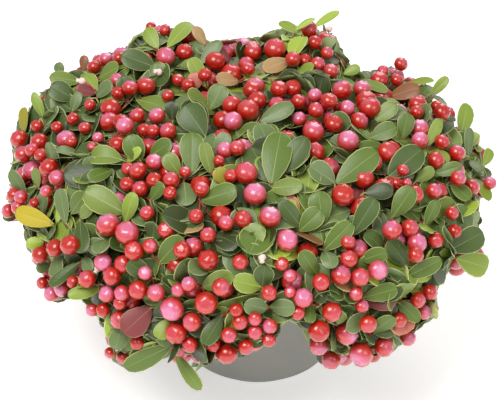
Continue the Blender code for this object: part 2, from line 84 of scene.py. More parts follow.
def srgb(code):
    """A colour of six hex digits as linear red, green, blue and full cover."""
    channels = np.array([int(code[i : i + 2], 16) for i in (0, 2, 4)]) / 255
    curved = np.where(channels <= 0.04045, channels / 12.92, ((channels + 0.055) / 1.055) ** 2.4)
    return (*map(float, curved), 1.0)


def add_node(material, kind, settings=(), inputs=()):
    """Adds a shader node with its settings; an input given as another node's socket is linked."""
    node = material.node_tree.nodes.new(kind)
    for name, value in dict(settings).items():
        setattr(node, name, value)
    for name, value in dict(inputs).items():
        if isinstance(value, bpy.types.NodeSocket):
            material.node_tree.links.new(value, node.inputs[name])
        else:
            node.inputs[name].default_value = value
    return node


def finish_of(name, colour, roughness, grain=0.001, relief=0.0, **sockets):
    """A Principled material of one base colour with a noise relief, whose grain and height are in metres."""
    material = bpy.data.materials.new(name)
    material.use_nodes = True
    shader = material.node_tree.nodes["Principled BSDF"]
    shader.inputs["Base Color"].default_value = srgb(colour)
    shader.inputs["Roughness"].default_value = roughness
    for socket, value in sockets.items():
        shader.inputs[socket.replace("_", " ")].default_value = value
    if relief:
        place = add_node(material, "ShaderNodeTexCoord").outputs["Object"]
        lumps = {"Vector": place, "Scale": 1 / grain, "Detail": 2.0}
        noise = add_node(material, "ShaderNodeTexNoise", inputs=lumps)
        height = {"Height": noise.outputs["Fac"], "Distance": relief, "Strength": 1.0}
        bump = add_node(material, "ShaderNodeBump", inputs=height)
        material.node_tree.links.new(bump.outputs["Normal"], shader.inputs["Normal"])
    return material


def mottle(material, scale, detail, dark, pale):
    """Blends two base colours by noise, with as many clouds to a metre as its scale."""
    place = add_node(material, "ShaderNodeTexCoord").outputs["Object"]
    clouds = {"Vector": place, "Scale": scale, "Detail": detail}
    noise = add_node(material, "ShaderNodeTexNoise", inputs=clouds)
    tone = add_node(material, "ShaderNodeMix", {"data_type": "RGBA"}, {"Factor": noise.outputs["Fac"]})
    tone.inputs["A"].default_value = srgb(dark)
    tone.inputs["B"].default_value = srgb(pale)
    shader = material.node_tree.nodes["Principled BSDF"]
    material.node_tree.links.new(tone.outputs["Result"], shader.inputs["Base Color"])


def mesh_piece(name, points, corners, sizes, slots, materials):
    """A smooth mesh object from its points, the corners of all its faces in turn, their sizes and slots."""
    mesh = bpy.data.meshes.new(name)
    mesh.vertices.add(len(points))
    mesh.vertices.foreach_set("co", np.asarray(points, np.float32).ravel())
    mesh.loops.add(len(corners))
    mesh.loops.foreach_set("vertex_index", np.asarray(corners, np.int32))
    mesh.polygons.add(len(sizes))
    mesh.polygons.foreach_set("loop_start", np.concatenate([[0], np.cumsum(sizes)[:-1]]).astype(np.int32))
    mesh.polygons.foreach_set("material_index", np.asarray(slots, np.int32))
    mesh.polygons.foreach_set("use_smooth", np.ones(len(sizes), bool))
    for material in materials:
        mesh.materials.append(material)
    mesh.update(calc_edges=True)
    piece = bpy.data.objects.new(name, mesh)
    bpy.context.scene.collection.objects.link(piece)
    return piece


def shells(name, rings, first, last, slots, materials):
    """Many closed shells of one build, joined: each is a stack of rings with a point before and after it.

    rings is shells x rings x sides x 3, and first and last are shells x 3. A face joins each pair of
    neighbours on a ring to the same pair on the next, and a fan closes each end. slots gives a material for
    each shell, band and side, where the first and last bands are the fans.
    """
    count, tall, around = rings.shape[:3]
    block = tall * around + 2
    points = np.concatenate([first[:, None], rings.reshape(count, -1, 3), last[:, None]], axis=1)
    side = np.arange(around)
    beside = (side + 1) % around
    low = 1 + np.arange(tall - 1)[:, None] * around
    band = np.stack([low + side, low + beside, low + around + beside, low + around + side], axis=-1)
    start = np.stack([np.zeros(around, int), 1 + beside, 1 + side], axis=-1)
    top = 1 + (tall - 1) * around
    end = np.stack([top + side, top + beside, np.full(around, block - 1)], axis=-1)
    one = np.concatenate([start.ravel(), band.ravel(), end.ravel()])
    sizes = np.concatenate([np.full(around, 3), np.full((tall - 1) * around, 4), np.full(around, 3)])
    corners = one[None] + np.arange(count)[:, None] * block
    slots = np.broadcast_to(slots, (count, tall + 1, around))
    faces = corners.ravel(), np.tile(sizes, count), slots.ravel()
    return mesh_piece(name, points.reshape(-1, 3), *faces, materials)


def dress(piece, slot=None, *nodes):
    """The piece moves with the plant's one body and stands for some solids, which it hides; its slot is not
    used.
    """
    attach(piece, "root")
    if nodes:
        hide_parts(*nodes)
    return piece


def arc(centre, height, radius, start, end, count=6):
    """Points of a round corner of a profile, from one angle to another in degrees."""
    turn = np.radians(np.linspace(start, end, count))
    return np.stack([centre + radius * np.cos(turn), height + radius * np.sin(turn)], axis=1)


def straight(start, end, count):
    """Evenly spaced points of a straight stretch of a profile."""
    share = np.linspace(0, 1, count)[:, None]
    return np.array(start) * (1 - share) + np.array(end) * share


def lathe(profile, sides):
    """Rings of a turned surface: each profile point, a radius and a height, carried round the Z axis."""
    turn = np.arange(sides) * math.tau / sides
    radius, height = profile[:, :1], profile[:, 1:]
    return np.stack([radius * np.cos(turn), radius * np.sin(turn), height + 0 * turn], axis=-1)[None]


def pot_profile():
    """From under the foot up the outer side, over the rim and down the inside to the floor."""
    half = POT_WALL / 2
    level = POT_FOOT_HEIGHT + POT_FLOOR
    foot, base, low = POT_FOOT_RADIUS, POT_BASE_RADIUS, POT_FOOT_HEIGHT
    foot_bend, base_bend = foot - POT_CORNER, base - POT_CORNER
    inner_foot = foot - POT_WALL
    inner_low = base + POT_LEAN * POT_FLOOR - POT_WALL
    return np.concatenate([
        straight((POLE_RADIUS, 0), (foot_bend - STEP, 0), 6),
        arc(foot_bend, POT_CORNER, POT_CORNER, -90, 0),
        straight((foot, POT_CORNER + 2 * SHORT_STEP), (foot, low - SHORT_STEP), 4),
        straight((foot + SHORT_STEP, low), (base_bend - SHORT_STEP, low), 4),
        arc(base_bend, low + POT_CORNER, POT_CORNER, -90, 0),
        straight((base, low + 2 * POT_CORNER), (POT_RIM_RADIUS - STEP / 5, POT_HEIGHT - 8 * STEP), 16),
        arc(POT_RIM_RADIUS - half, POT_HEIGHT - half, half, 0, 180, 12),
        straight((POT_RIM_RADIUS - POT_WALL, POT_HEIGHT - 6 * STEP), (inner_low, level), 8),
        straight((inner_low - 2 * STEP, level), (inner_foot + STEP, level), 3),
        straight((inner_foot, level - STEP), (inner_foot, POT_FLOOR + STEP), 3),
        straight((inner_foot - STEP, POT_FLOOR), (POLE_RADIUS, POT_FLOOR), 5),
    ])


def make_pot():
    """The turned pot, in a plastic with a fine moulded grain and pale clouds about two centimetres wide."""
    plastic = finish_of("moulded_grey_polypropylene", "91918a", 0.5, grain=0.0006, relief=0.00003)
    mottle(plastic, 45.0, 5.0, "8a8b85", "999890")
    rings = lathe(pot_profile(), POT_SIDES)
    ends = np.array([[0, 0, 0]]), np.array([[0, 0, POT_FLOOR]])
    return dress(shells("grey_pot_shell", rings, *ends, 0, [plastic]), "grey_pot", "pot")


make_pot()


# Compost
# Peat-based potting compost, pressed into the pot to just under its rim and watered down into a low dome.
# Its top is rough with fibres and crumbs.

SOIL_LEVEL = 0.080
SOIL_CROWN = 0.0015
SOIL_GAP = 0.0003
# Reliefs of its top, each a height and a wavelength, and how far they lower it
SOIL_RELIEFS = ((0.0007, 0.006), (0.0004, 0.0025))
SOIL_SETTLING = 0.0008
SOIL_DIMPLE = 0.0006
SOIL_WAVES = 14
CRUMBS = 260
CRUMB_SIZE = (0.0007, 0.0019)
CRUMB_MARGIN = 0.003
CRUMB_SIDES = 7
CRUMB_RINGS = 4
CRUMB_SINK = 0.0003


def ripples(points, wavelength, count, seed):
    """A smooth random relief between about -1 and 1: a sum of sine waves of random directions and phases."""
    rng = np.random.default_rng(seed)
    ways = rng.normal(size=(count, 3))
    closeness = math.tau / wavelength * rng.uniform(0.6, 1.6, (count, 1))
    ways *= closeness / np.linalg.norm(ways, axis=1, keepdims=True)
    return np.sin(points @ ways.T + rng.uniform(0, math.tau, count)).sum(axis=-1) / math.sqrt(count)


def make_compost():
    """A turned plug whose top rises to a dome with a crumbly relief."""
    peat = finish_of("damp_peat_compost", "33251b", 0.95, grain=0.0012, relief=0.0006)
    inner = POT_FOOT_RADIUS - POT_WALL - SOIL_GAP
    wall = POT_RIM_RADIUS - POT_WALL - SOIL_GAP - SHORT_STEP
    step = POT_FOOT_HEIGHT + POT_FLOOR + SOIL_GAP
    low = POT_BASE_RADIUS + POT_LEAN * (step - POT_FOOT_HEIGHT) - POT_WALL - SOIL_GAP
    top = np.linspace(wall, 0.75 * POLE_RADIUS, 26)[:, None]
    dome = np.concatenate([top, SOIL_LEVEL - SOIL_CROWN * (top / wall) ** 3], axis=1)
    floor = POT_FLOOR + SOIL_GAP
    sides = np.array([(POLE_RADIUS, floor), (inner, floor), (inner, step), (low, step)])
    rings = lathe(np.concatenate([sides, dome]), 96)
    relief = sum(
        height * ripples(rings, wavelength, SOIL_WAVES, seed)
        for seed, (height, wavelength) in enumerate(SOIL_RELIEFS, start=3)
    )
    rings[..., 2] += np.where(rings[..., 2] > SOIL_LEVEL - 2 * SOIL_CROWN, relief - SOIL_SETTLING, 0)
    ends = np.array([[0, 0, floor]]), np.array([[0, 0, SOIL_LEVEL - SOIL_DIMPLE]])
    return dress(shells("compost_plug", rings, *ends, 0, [peat]), "potting_soil", "potting_soil")


def make_crumbs():
    """Crumbs of peat and bark: lumps whose radius ripples over them, sunk to half their height."""
    rng = np.random.default_rng(11)
    dark = finish_of("peat_crumb", "2a1d15", 0.95, grain=0.0008, relief=0.0004)
    pale = finish_of("bark_chip", "5b4532", 0.9, grain=0.0008, relief=0.0004)
    tilt = np.pi * (np.arange(CRUMB_RINGS) + 1) / (CRUMB_RINGS + 1)
    turn = np.arange(CRUMB_SIDES) * math.tau / CRUMB_SIDES
    out, up = np.sin(tilt)[:, None], -np.cos(tilt)[:, None]
    unit = np.stack([out * np.cos(turn), out * np.sin(turn), up + 0 * turn], axis=-1)
    reach = (POT_RIM_RADIUS - POT_WALL - CRUMB_MARGIN) * np.sqrt(rng.uniform(0.06, 1, CRUMBS))
    angle = rng.uniform(0, math.tau, CRUMBS)
    level = np.full(CRUMBS, SOIL_LEVEL - CRUMB_SINK)
    centres = np.stack([reach * np.cos(angle), reach * np.sin(angle), level], axis=1)
    centres[:, 2] -= SOIL_CROWN * (reach / POT_RIM_RADIUS) ** 3
    size = rng.uniform(*CRUMB_SIZE, (CRUMBS, 1)) * rng.uniform(0.6, 1.3, (CRUMBS, 3))
    lump = 1 + 0.22 * ripples(unit[None] * 3 + centres[:, None, None] * 900, 2.4, 8, 5)[..., None]
    rings = centres[:, None, None] + unit[None] * lump * size[:, None, None]
    poles = size * np.array([0, 0, 1])
    kinds = rng.choice(2, (CRUMBS, 1, 1), p=(0.75, 0.25))
    crumbs = shells("compost_crumbs", rings, centres - poles, centres + poles, kinds, [dark, pale])
    return dress(crumbs, "potting_soil")


make_compost()
make_crumbs()


# Woody stem and boughs
# A short root crown and sixteen limbs under brown bark that is cracked along the grain. The crown flares
# where it leaves the compost, and each bough tapers from it to the mass of foliage it carries.

STEM_RADIUS = 0.007
STEM_FLARE_RADIUS = 0.0115
STEM_FLARE_HEIGHT = 0.006
STEM_TOP = 0.113
LIMB_GAP = 0.0003
BOUGH_TIP_RADIUS = 0.0014
BOUGH_BEND = 0.4
BOUGH_LEAVE = 0.02
TOP_CENTRE_HEIGHT = 0.170
# Each tier: how many boughs, turn of the first in degrees, radius at the base, height at which they leave,
# and how far out and how high the middles of their masses lie
UPPER = {"count": 6, "turn": 9, "base": 0.0024, "start": 0.1025, "out": 0.086, "up": 0.150}
SKIRT = {"count": 9, "turn": 29, "base": 0.0019, "start": 0.0905, "out": 0.120, "up": 0.097}
STEM_BACK_REACH = 0.028


def unit_of(vectors):
    """Vectors scaled to a length of one."""
    return vectors / np.maximum(np.linalg.norm(vectors, axis=-1, keepdims=True), 1e-12)


def polar(azimuth, radius, height):
    """The point at an azimuth from the front, -Y, turning towards +X, at a radius and a height."""
    return np.array([radius * math.sin(azimuth), -radius * math.cos(azimuth), height])


def stem_radius(height):
    """The root crown's radius: a flare that dies away above the compost, and a slight taper."""
    above = height - SOIL_LEVEL
    flare = (STEM_FLARE_RADIUS - STEM_RADIUS) * np.exp(-above / (0.5 * STEM_FLARE_HEIGHT))
    return STEM_RADIUS + flare - 0.03 * above


def bezier(bends, share):
    """Points of Bezier curves. bends is curves x control points x 3, and share runs from 0 to 1.

    Neighbouring control points are blended by the share until one is left.
    """
    share = np.asarray(share)[None, :, None]
    bends = bends[:, :, None]
    while bends.shape[1] > 1:
        bends = bends[:, :-1] * (1 - share[:, None]) + bends[:, 1:] * share[:, None]
    return bends[:, 0]


def tube_rings(paths, radii, sides, relief=None):
    """Rings of tubes along paths, curves x points x 3: circles square to the path, with a relief on them."""
    along = unit_of(np.gradient(paths, axis=1))
    chord = np.abs(paths[:, -1] - paths[:, 0])
    aside = np.eye(3)[np.argmin(chord, axis=1)][:, None]
    across = unit_of(np.cross(aside, along))
    above = np.cross(along, across)
    turn = np.arange(sides) * math.tau / sides
    circle = np.cos(turn)[:, None] * across[:, :, None] + np.sin(turn)[:, None] * above[:, :, None]
    radii = radii[:, :, None, None] * (1 if relief is None else 1 + relief[..., None])
    return paths[:, :, None] + circle * radii


def tubes(name, paths, radii, sides, slots, materials, relief=None):
    """One piece of tubes along paths, closed at both ends, of one radius or of a radius at each point."""
    rings = tube_rings(paths, np.broadcast_to(radii, paths.shape[:2]), sides, relief)
    return shells(name, rings, paths[:, 0], paths[:, -1], slots, materials)


class Limb:
    """A bough: the name of its mass, the mass's centre, the bough's curve and its radius along it."""

    def __init__(self, name, start, centre, base):
        outward = np.array([centre[0], centre[1], 0])
        leave = unit_of(outward) if np.linalg.norm(outward) > LIMB_GAP else np.array([0, 0, 1.0])
        self.name, self.centre, self.base = name, centre, base
        self.arrive = unit_of(centre - start - leave * BOUGH_LEAVE)
        self.tip = centre - self.arrive * STEM_BACK_REACH
        reach = np.linalg.norm(self.tip - start)
        first, last = start + leave * reach * BOUGH_BEND, self.tip - self.arrive * reach * BOUGH_BEND
        self.bends = np.array([start, first, last, self.tip])


def plan_limbs():
    """One bough up the middle, a ring of six that rise and a skirt of nine that run out over the rim."""
    top = np.array([0, 0, TOP_CENTRE_HEIGHT])
    limbs = [Limb("top", np.array([0, 0, STEM_TOP + LIMB_GAP]), top, UPPER["base"])]
    for tier, ring in (("upper", UPPER), ("skirt", SKIRT)):
        for k in range(ring["count"]):
            azimuth = math.radians(ring["turn"]) + math.tau * k / ring["count"]
            start = polar(azimuth, stem_radius(ring["start"]) + LIMB_GAP, ring["start"])
            centre = polar(azimuth, ring["out"], ring["up"])
            limbs.append(Limb(f"{tier}_{k + 1}", start, centre, ring["base"]))
    return limbs


def bark_relief(tall, around, seed, ridges):
    """Relief of bark over a tube: wandering ridges along it, crossed by rings at uneven distances."""
    rng = np.random.default_rng(seed)
    way = np.linspace(0, 1, tall)[:, None]
    turn = np.arange(around) * math.tau / around
    wander = rng.uniform(0.4, 1.2) * np.sin(way * rng.uniform(5, 9) + rng.uniform(0, math.tau))
    folds = 0.05 * np.sin(ridges * (turn + wander)) + 0.03 * np.sin((ridges + 3) * turn - 14 * way)
    scars = 0.07 * np.exp(-((np.sin(way * rng.uniform(22, 30) + rng.uniform(0, 3)) / 0.25) ** 2))
    return (folds + scars)[None]


def make_limbs(limbs):
    """The root crown and each bough as its own tube with a relief, in brown bark with paler patches."""
    bark = finish_of("cracked_brown_bark", "5f4331", 0.85, grain=0.0011, relief=0.0004)
    mottle(bark, 420.0, 4.0, "3f2c20", "86674b")
    heights = SOIL_LEVEL + LIMB_GAP + (STEM_TOP - SOIL_LEVEL - LIMB_GAP) * np.linspace(0, 1, 40) ** 1.4
    path = np.stack([0 * heights, 0 * heights, heights], axis=1)[None]
    relief = bark_relief(40, 36, 1, 7)
    crown = tubes("bark_root_crown", path, stem_radius(heights)[None], 36, 0, [bark], relief)
    dress(crown, "woody_stem", "root_crown")
    for seed, limb in enumerate(limbs, start=2):
        share = np.linspace(0, 1, 44)
        path = bezier(limb.bends[None], share)
        radii = (limb.base + (BOUGH_TIP_RADIUS - limb.base) * share)[None]
        relief = bark_relief(44, 14, seed, 4)
        bough = tubes(f"bark_bough_{limb.name}", path, radii, 14, 0, [bark], relief)
        dress(bough, "woody_stem", f"bough_{limb.name}")


limbs = plan_limbs()
make_limbs(limbs)


# Twigs
# Young shoots of the year, thin, with red bark that turns green towards the tips. In each mass a short stem
# goes on from the bough's tip to the middle, main shoots fan out of it, and fine twigs branch off them to
# ends that lie evenly over the mound, and to the leaves and berries that stand out in the photograph.

CROWN_OFFSET = -0.003
CROWN_LEVEL = 0.118
CROWN_HALF_WIDTH = 0.163
CROWN_HALF_DEPTH = 0.155
CROWN_RISE = 0.090
CROWN_HANG = 0.073
CROWN_FULLNESS = 2.5
# Lobes of the crown: azimuth and spread in degrees, how much it swells there, and how much lower it hangs
CROWN_LOBES = (
    (-153, 20, 0.10, 0.0),
    (-114, 30, 0.10, 0.0),
    (-74, 24, 0.0, -0.030),
    (-34, 18, 0.0, 0.020),
    (-10, 14, 0.0, -0.016),
    (34, 18, 0.0, 0.014),
    (80, 30, -0.02, -0.032),
    (128, 18, -0.05, 0.0),
    (157, 13, 0.10, 0.0),
)
# Tufts and dips of its top: where they lie, how wide they are, and how much higher the crown rises there
CROWN_TUFTS = (
    (-0.058, 0.060, 0.030, 0.016),
    (0.034, 0.060, 0.022, 0.016),
    (0.078, 0.040, 0.024, -0.014),
)
# The parting through which the pot shows: its azimuth and spread, and how far the crown hangs there
PARTING_AZIMUTH = math.radians(9)
PARTING_SPREAD = math.radians(10)
LEAST_HANG = 0.008
CROWN_MIDDLE = np.array([CROWN_OFFSET, 0, CROWN_LEVEL])
BOX_LOW, BOX_HIGH = (np.array(corner) for corner in cad_box)
GOLDEN_ANGLE = math.pi * (3 - math.sqrt(5))
END_CANDIDATES = 9000
LOWEST_END = -0.68
SHOOT_SPACING = 0.0375
SHOOT_DEPTH = 0.022
TWIG_SPACING = 0.0210
TWIG_JITTER = 0.0025
# How deep the ends lie under the surface, and how much and how closely that changes over the crown
WHORL_DEPTH = 0.013
UNEVEN_DEPTH = 0.005
UNEVEN_WIDTH = 0.055
SHORTEST_SHOOT = 0.010
SHORTEST_TWIG = 0.010
STEM_BEND = 0.010
# Radii at the foot and at the end of a mass's stem, of its shoots and of its twigs
STEM_RADII = (0.0014, 0.0013)
SHOOT_RADII = (0.0013, 0.0008)
TWIG_RADII = (0.0009, 0.0006)
TWIG_BOW = 0.18
TWIG_BEND_JITTER = 0.0012
END_STRAY = (-0.003, 0.004)
TWIG_MARGIN = 6
FINE_STEP = 0.0005
# The photograph's view: its height over the level, its distance and the point in the middle of the picture
VIEW_ELEVATION = math.radians(32)
VIEW_DISTANCE = 1.3
VIEW_TARGET = np.array([-0.0053, 0, 0.1204])
VIEW_FOCAL = 1950
VIEW_SEARCH = (-0.25, 0.30)
VIEW_MIDDLE = (250, 200)
VIEW_BACK = np.array([0, -math.cos(VIEW_ELEVATION), math.sin(VIEW_ELEVATION)])
VIEW_UP = np.array([0, math.sin(VIEW_ELEVATION), math.cos(VIEW_ELEVATION)])
VIEW_EYE = VIEW_TARGET + VIEW_BACK * VIEW_DISTANCE
# Leaves that stand out in the photograph: pixels of foot and tip, width in hundredths of length, and tint
LEAF_MARKS = (
    (271, 185, 281, 131, 53, "mid"), (283, 173, 307, 137, 55, "dark"), (270, 188, 303, 186, 56, "full"),
    (335, 183, 309, 166, 75, "grey"), (335, 184, 378, 151, 50, "mid"), (259, 122, 294, 105, 50, "grey"),
    (55, 225, 15, 211, 45, "yellow"), (125, 213, 84, 191, 60, "full"), (125, 223, 134, 192, 50, "fresh"),
    (66, 225, 60, 188, 42, "grey"), (57, 254, 58, 278, 68, "grey"), (202, 288, 233, 274, 50, "full"),
    (262, 287, 233, 280, 60, "fresh"), (262, 287, 265, 265, 80, "dark"), (270, 307, 295, 307, 65, "grey"),
    (268, 309, 244, 304, 65, "grey"), (311, 304, 309, 323, 60, "mid"), (369, 314, 346, 328, 60, "grey"),
    (370, 333, 394, 317, 55, "mid"), (362, 298, 398, 288, 50, "mid"), (223, 314, 204, 345, 50, "dark"),
    (174, 352, 201, 390, 34, "full"), (172, 345, 124, 368, 40, "mid"), (168, 319, 158, 339, 75, "fresh"),
    (152, 307, 123, 333, 75, "maroon"), (152, 278, 128, 262, 65, "dark"), (159, 263, 183, 237, 55, "mid"),
    (155, 67, 121, 55, 62, "dark"), (82, 82, 49, 77, 52, "full"), (76, 100, 50, 86, 75, "dark"),
    (97, 93, 75, 89, 62, "maroon"), (84, 73, 84, 55, 60, "bronze"), (44, 118, 33, 92, 38, "fresh"),
    (24, 134, 25, 107, 50, "olive"), (98, 79, 119, 66, 65, "full"), (72, 112, 80, 92, 55, "grey"),
    (96, 98, 112, 82, 60, "grey"), (130, 98, 122, 76, 80, "dark"), (60, 76, 59, 62, 85, "grey"),
    (167, 48, 190, 12, 40, "fresh"), (206, 46, 194, 23, 55, "tan"), (196, 90, 196, 72, 90, "salmon"),
    (208, 89, 190, 57, 45, "fresh"), (158, 49, 146, 26, 55, "fresh"), (231, 64, 215, 47, 50, "maroon"),
    (239, 81, 216, 80, 60, "tan"), (200, 64, 221, 39, 45, "grey"), (209, 110, 224, 85, 75, "mid"),
    (295, 22, 315, 9, 30, "young"), (313, 28, 339, 11, 28, "young"), (303, 35, 279, 22, 35, "fresh"),
    (389, 97, 420, 88, 58, "bronze"), (291, 60, 263, 70, 50, "tan"), (430, 97, 448, 77, 42, "fresh"),
    (461, 134, 467, 103, 62, "fresh"), (468, 157, 469, 127, 42, "grey"), (484, 166, 496, 142, 60, "fresh"),
    (388, 177, 422, 149, 64, "dark"), (427, 147, 440, 119, 40, "fresh"), (415, 182, 434, 168, 55, "full"),
    (434, 174, 462, 166, 48, "mid"), (371, 138, 397, 127, 68, "mid"), (402, 140, 408, 113, 66, "mid"),
    (470, 160, 481, 172, 75, "grey"), (475, 178, 489, 201, 48, "fresh"), (450, 182, 470, 200, 60, "mid"),
    (364, 193, 394, 190, 60, "old"), (384, 146, 358, 148, 45, "mid"), (374, 122, 397, 104, 60, "full"),
    (343, 74, 360, 67, 60, "fresh"), (358, 79, 388, 92, 32, "full"), (406, 84, 434, 81, 34, "fresh"),
    (206, 137, 184, 105, 80, "dark"), (192, 174, 192, 132, 60, "mid"), (211, 174, 203, 142, 45, "full"),
    (180, 175, 165, 154, 68, "full"), (150, 156, 172, 142, 70, "mid"), (141, 162, 128, 135, 75, "mid"),
    (138, 100, 167, 108, 55, "full"), (216, 153, 228, 133, 70, "grey"), (227, 185, 216, 168, 80, "olive"),
    (200, 201, 237, 190, 58, "mid"), (184, 182, 187, 206, 78, "grey"), (150, 201, 163, 183, 60, "mid"),
    (127, 162, 141, 148, 48, "young"), (172, 120, 172, 101, 78, "old"), (71, 214, 86, 193, 60, "mid"),
    (80, 219, 93, 204, 55, "full"), (112, 170, 88, 180, 55, "mid"), (70, 228, 79, 245, 70, "dark"),
    (80, 220, 83, 253, 45, "dark"), (50, 266, 36, 268, 80, "grey"), (80, 262, 49, 286, 32, "dark"),
    (26, 194, 10, 170, 52, "grey"), (38, 189, 36, 168, 45, "full"), (16, 214, 4, 220, 75, "grey"),
    (45, 240, 26, 245, 65, "young"), (42, 215, 44, 190, 42, "grey"), (82, 258, 92, 272, 70, "grey"),
    (106, 286, 123, 290, 70, "dark"), (450, 250, 483, 232, 75, "dark"), (455, 258, 488, 268, 62, "fresh"),
    (405, 277, 442, 259, 45, "mid"), (392, 218, 413, 187, 60, "mid"), (303, 229, 280, 200, 48, "dark"),
    (323, 225, 318, 191, 72, "mid"), (352, 236, 375, 198, 50, "dark"), (299, 232, 321, 210, 72, "mid"),
    (324, 250, 352, 222, 52, "mid"), (361, 260, 387, 252, 66, "mid"), (408, 266, 388, 240, 55, "dark"),
    (425, 226, 437, 200, 50, "mid"), (318, 276, 301, 251, 50, "mid"), (398, 302, 420, 321, 55, "mid"),
)
MARK_FOOT_DEPTH = 0.011
MARK_TIP_DEPTHS = (-0.006, 0.001)
MARK_SPACING = 0.006
MARK_LEAN = 0.7
MARK_FOOT_INSET = 0.004
MARK_TIP_INSET = 0.0015
# Berries that stand out in the photograph: pixels of their middles, and radius in pixels
BERRY_MARKS = (
    (248, 110, 11), (246, 173, 11.5), (255, 194, 11.5), (348, 141, 11), (334, 124, 9), (343, 195, 11.5),
    (316, 110, 8), (347, 108, 8), (329, 103, 8), (108, 225, 12), (127, 233, 12), (134, 251, 10),
    (103, 262, 9), (123, 264, 9), (55, 248, 9), (70, 245, 10), (40, 255, 8.5), (147, 213, 7.5),
    (140, 189, 8.5), (127, 184, 7.5), (46, 191, 6), (112, 276, 9.5), (87, 279, 9), (73, 282, 6.5),
    (51, 294, 7.5), (42, 283, 6), (62, 289, 8), (107, 294, 8.5), (120, 303, 7), (103, 310, 7),
    (92, 310, 6.5), (138, 290, 9.5), (156, 293, 9), (166, 230, 8.5), (182, 250, 9), (193, 247, 10),
    (110, 353, 6), (123, 358, 7), (137, 343, 7), (208, 260, 10.5), (206, 303, 11.5), (172, 309, 12),
    (176, 333, 11), (192, 322, 9.5), (221, 287, 9), (307, 253, 11), (341, 275, 10), (360, 277, 9.5),
    (378, 270, 10), (349, 259, 9), (321, 282, 9), (269, 293, 8), (255, 332, 7.5), (269, 340, 7),
    (270, 326, 7.5), (255, 319, 7), (298, 313, 7), (303, 298, 10), (319, 331, 11), (319, 346, 9.5),
    (331, 360, 9.5), (347, 333, 12), (368, 324, 9), (361, 354, 12), (384, 347, 10), (362, 306, 7),
    (332, 312, 10), (227, 354, 10.5), (246, 347, 8), (146, 86, 9.5), (215, 61, 10), (231, 74, 11),
    (225, 52, 8), (253, 52, 9), (248, 69, 7), (252, 90, 9), (165, 30, 6), (151, 27, 5.5), (275, 49, 11),
    (293, 59, 8), (332, 40, 5.5), (327, 53, 6.5), (342, 90, 10), (122, 293, 8), (362, 89, 9),
    (370, 108, 11), (329, 101, 8.5), (383, 71, 6), (401, 64, 7), (397, 80, 6.5), (417, 112, 7),
    (437, 106, 6), (442, 142, 8), (457, 153, 8.5), (436, 160, 8.5), (420, 140, 8.5), (387, 152, 10),
    (458, 178, 8), (472, 187, 8), (490, 183, 6.5), (434, 191, 8), (407, 183, 5), (270, 217, 11),
    (287, 240, 11), (305, 251, 11), (94, 67, 7), (106, 59, 7), (119, 58, 6.5), (117, 80, 7), (118, 93, 7),
    (90, 105, 6), (37, 126, 6.5), (73, 119, 6.5), (57, 127, 6), (85, 128, 6.5), (71, 142, 6.5),
    (109, 122, 10), (121, 122, 8.5), (98, 138, 6), (92, 147, 5), (19, 139, 9), (39, 142, 9), (32, 150, 7),
    (23, 154, 8.5), (49, 168, 10), (57, 178, 8.5), (41, 155, 7), (14, 195, 7.5), (21, 197, 7), (8, 211, 7),
    (18, 207, 7), (34, 203, 5), (157, 116, 8.5), (153, 131, 7), (168, 131, 8.5), (144, 130, 7),
    (125, 126, 9), (154, 162, 8.5), (138, 171, 9), (128, 169, 7), (154, 180, 8), (171, 180, 8.5),
    (170, 193, 7), (185, 172, 6), (233, 121, 9.5), (225, 150, 8.5), (237, 148, 8), (219, 161, 6),
    (201, 189, 8), (231, 176, 7), (130, 88, 8), (188, 85, 7), (178, 80, 6.5), (205, 75, 7), (168, 96, 6.5),
    (392, 230, 10), (410, 228, 9), (417, 243, 10), (403, 170, 6), (399, 320, 8), (418, 300, 8),
    (430, 292, 8), (408, 338, 8), (424, 312, 7.5), (416, 255, 8), (436, 240, 8), (452, 213, 7),
    (455, 231, 7), (243, 219, 9), (226, 223, 8), (196, 216, 7.5), (208, 235, 8), (240, 262, 8),
    (290, 276, 7), (282, 264, 7), (150, 246, 7.5), (145, 273, 7), (189, 284, 8), (178, 290, 7),
    (240, 322, 8), (229, 335, 8), (213, 345, 7), (190, 345, 8), (236, 310, 7), (290, 292, 6),
    (356, 294, 7),
)
# The crown's outline in the photograph, clockwise from its top, by the points where it turns
VIEW_OUTLINE = (
    (310, 8), (338, 9), (330, 30), (345, 50), (352, 67), (372, 72), (392, 61), (407, 62), (410, 78),
    (430, 80), (448, 76), (447, 95), (460, 105), (470, 101), (478, 120), (482, 140), (498, 143),
    (492, 165), (497, 188), (480, 205), (483, 235), (488, 262), (470, 272), (452, 268), (437, 290),
    (447, 310), (430, 325), (412, 340), (392, 354), (370, 365), (350, 367), (330, 370), (316, 366),
    (302, 335), (294, 321), (283, 320), (278, 345), (262, 348), (240, 360), (222, 363), (212, 362),
    (203, 388), (188, 385), (172, 365), (150, 363), (126, 371), (103, 358), (108, 340), (100, 325),
    (84, 312), (92, 298), (72, 300), (50, 303), (38, 290), (40, 270), (30, 258), (22, 240), (24, 225),
    (3, 213), (8, 180), (12, 155), (8, 135), (22, 110), (32, 92), (50, 88), (48, 68), (72, 70), (85, 57),
    (105, 52), (122, 46), (132, 38), (140, 21), (165, 27), (190, 11), (197, 30), (212, 41), (235, 36),
    (255, 36), (275, 28), (292, 20),
)
BERRY_ROOT_DEPTH = 0.018
BERRY_ROOT_SPACING = 0.011
MARK_CLEARANCE = 0.012


def bump(azimuths, middle, spread):
    """1 at an azimuth, and falling away from it like a bell on both sides."""
    off = (azimuths - middle + math.pi) % math.tau - math.pi
    return np.exp(-((off / spread) ** 2))


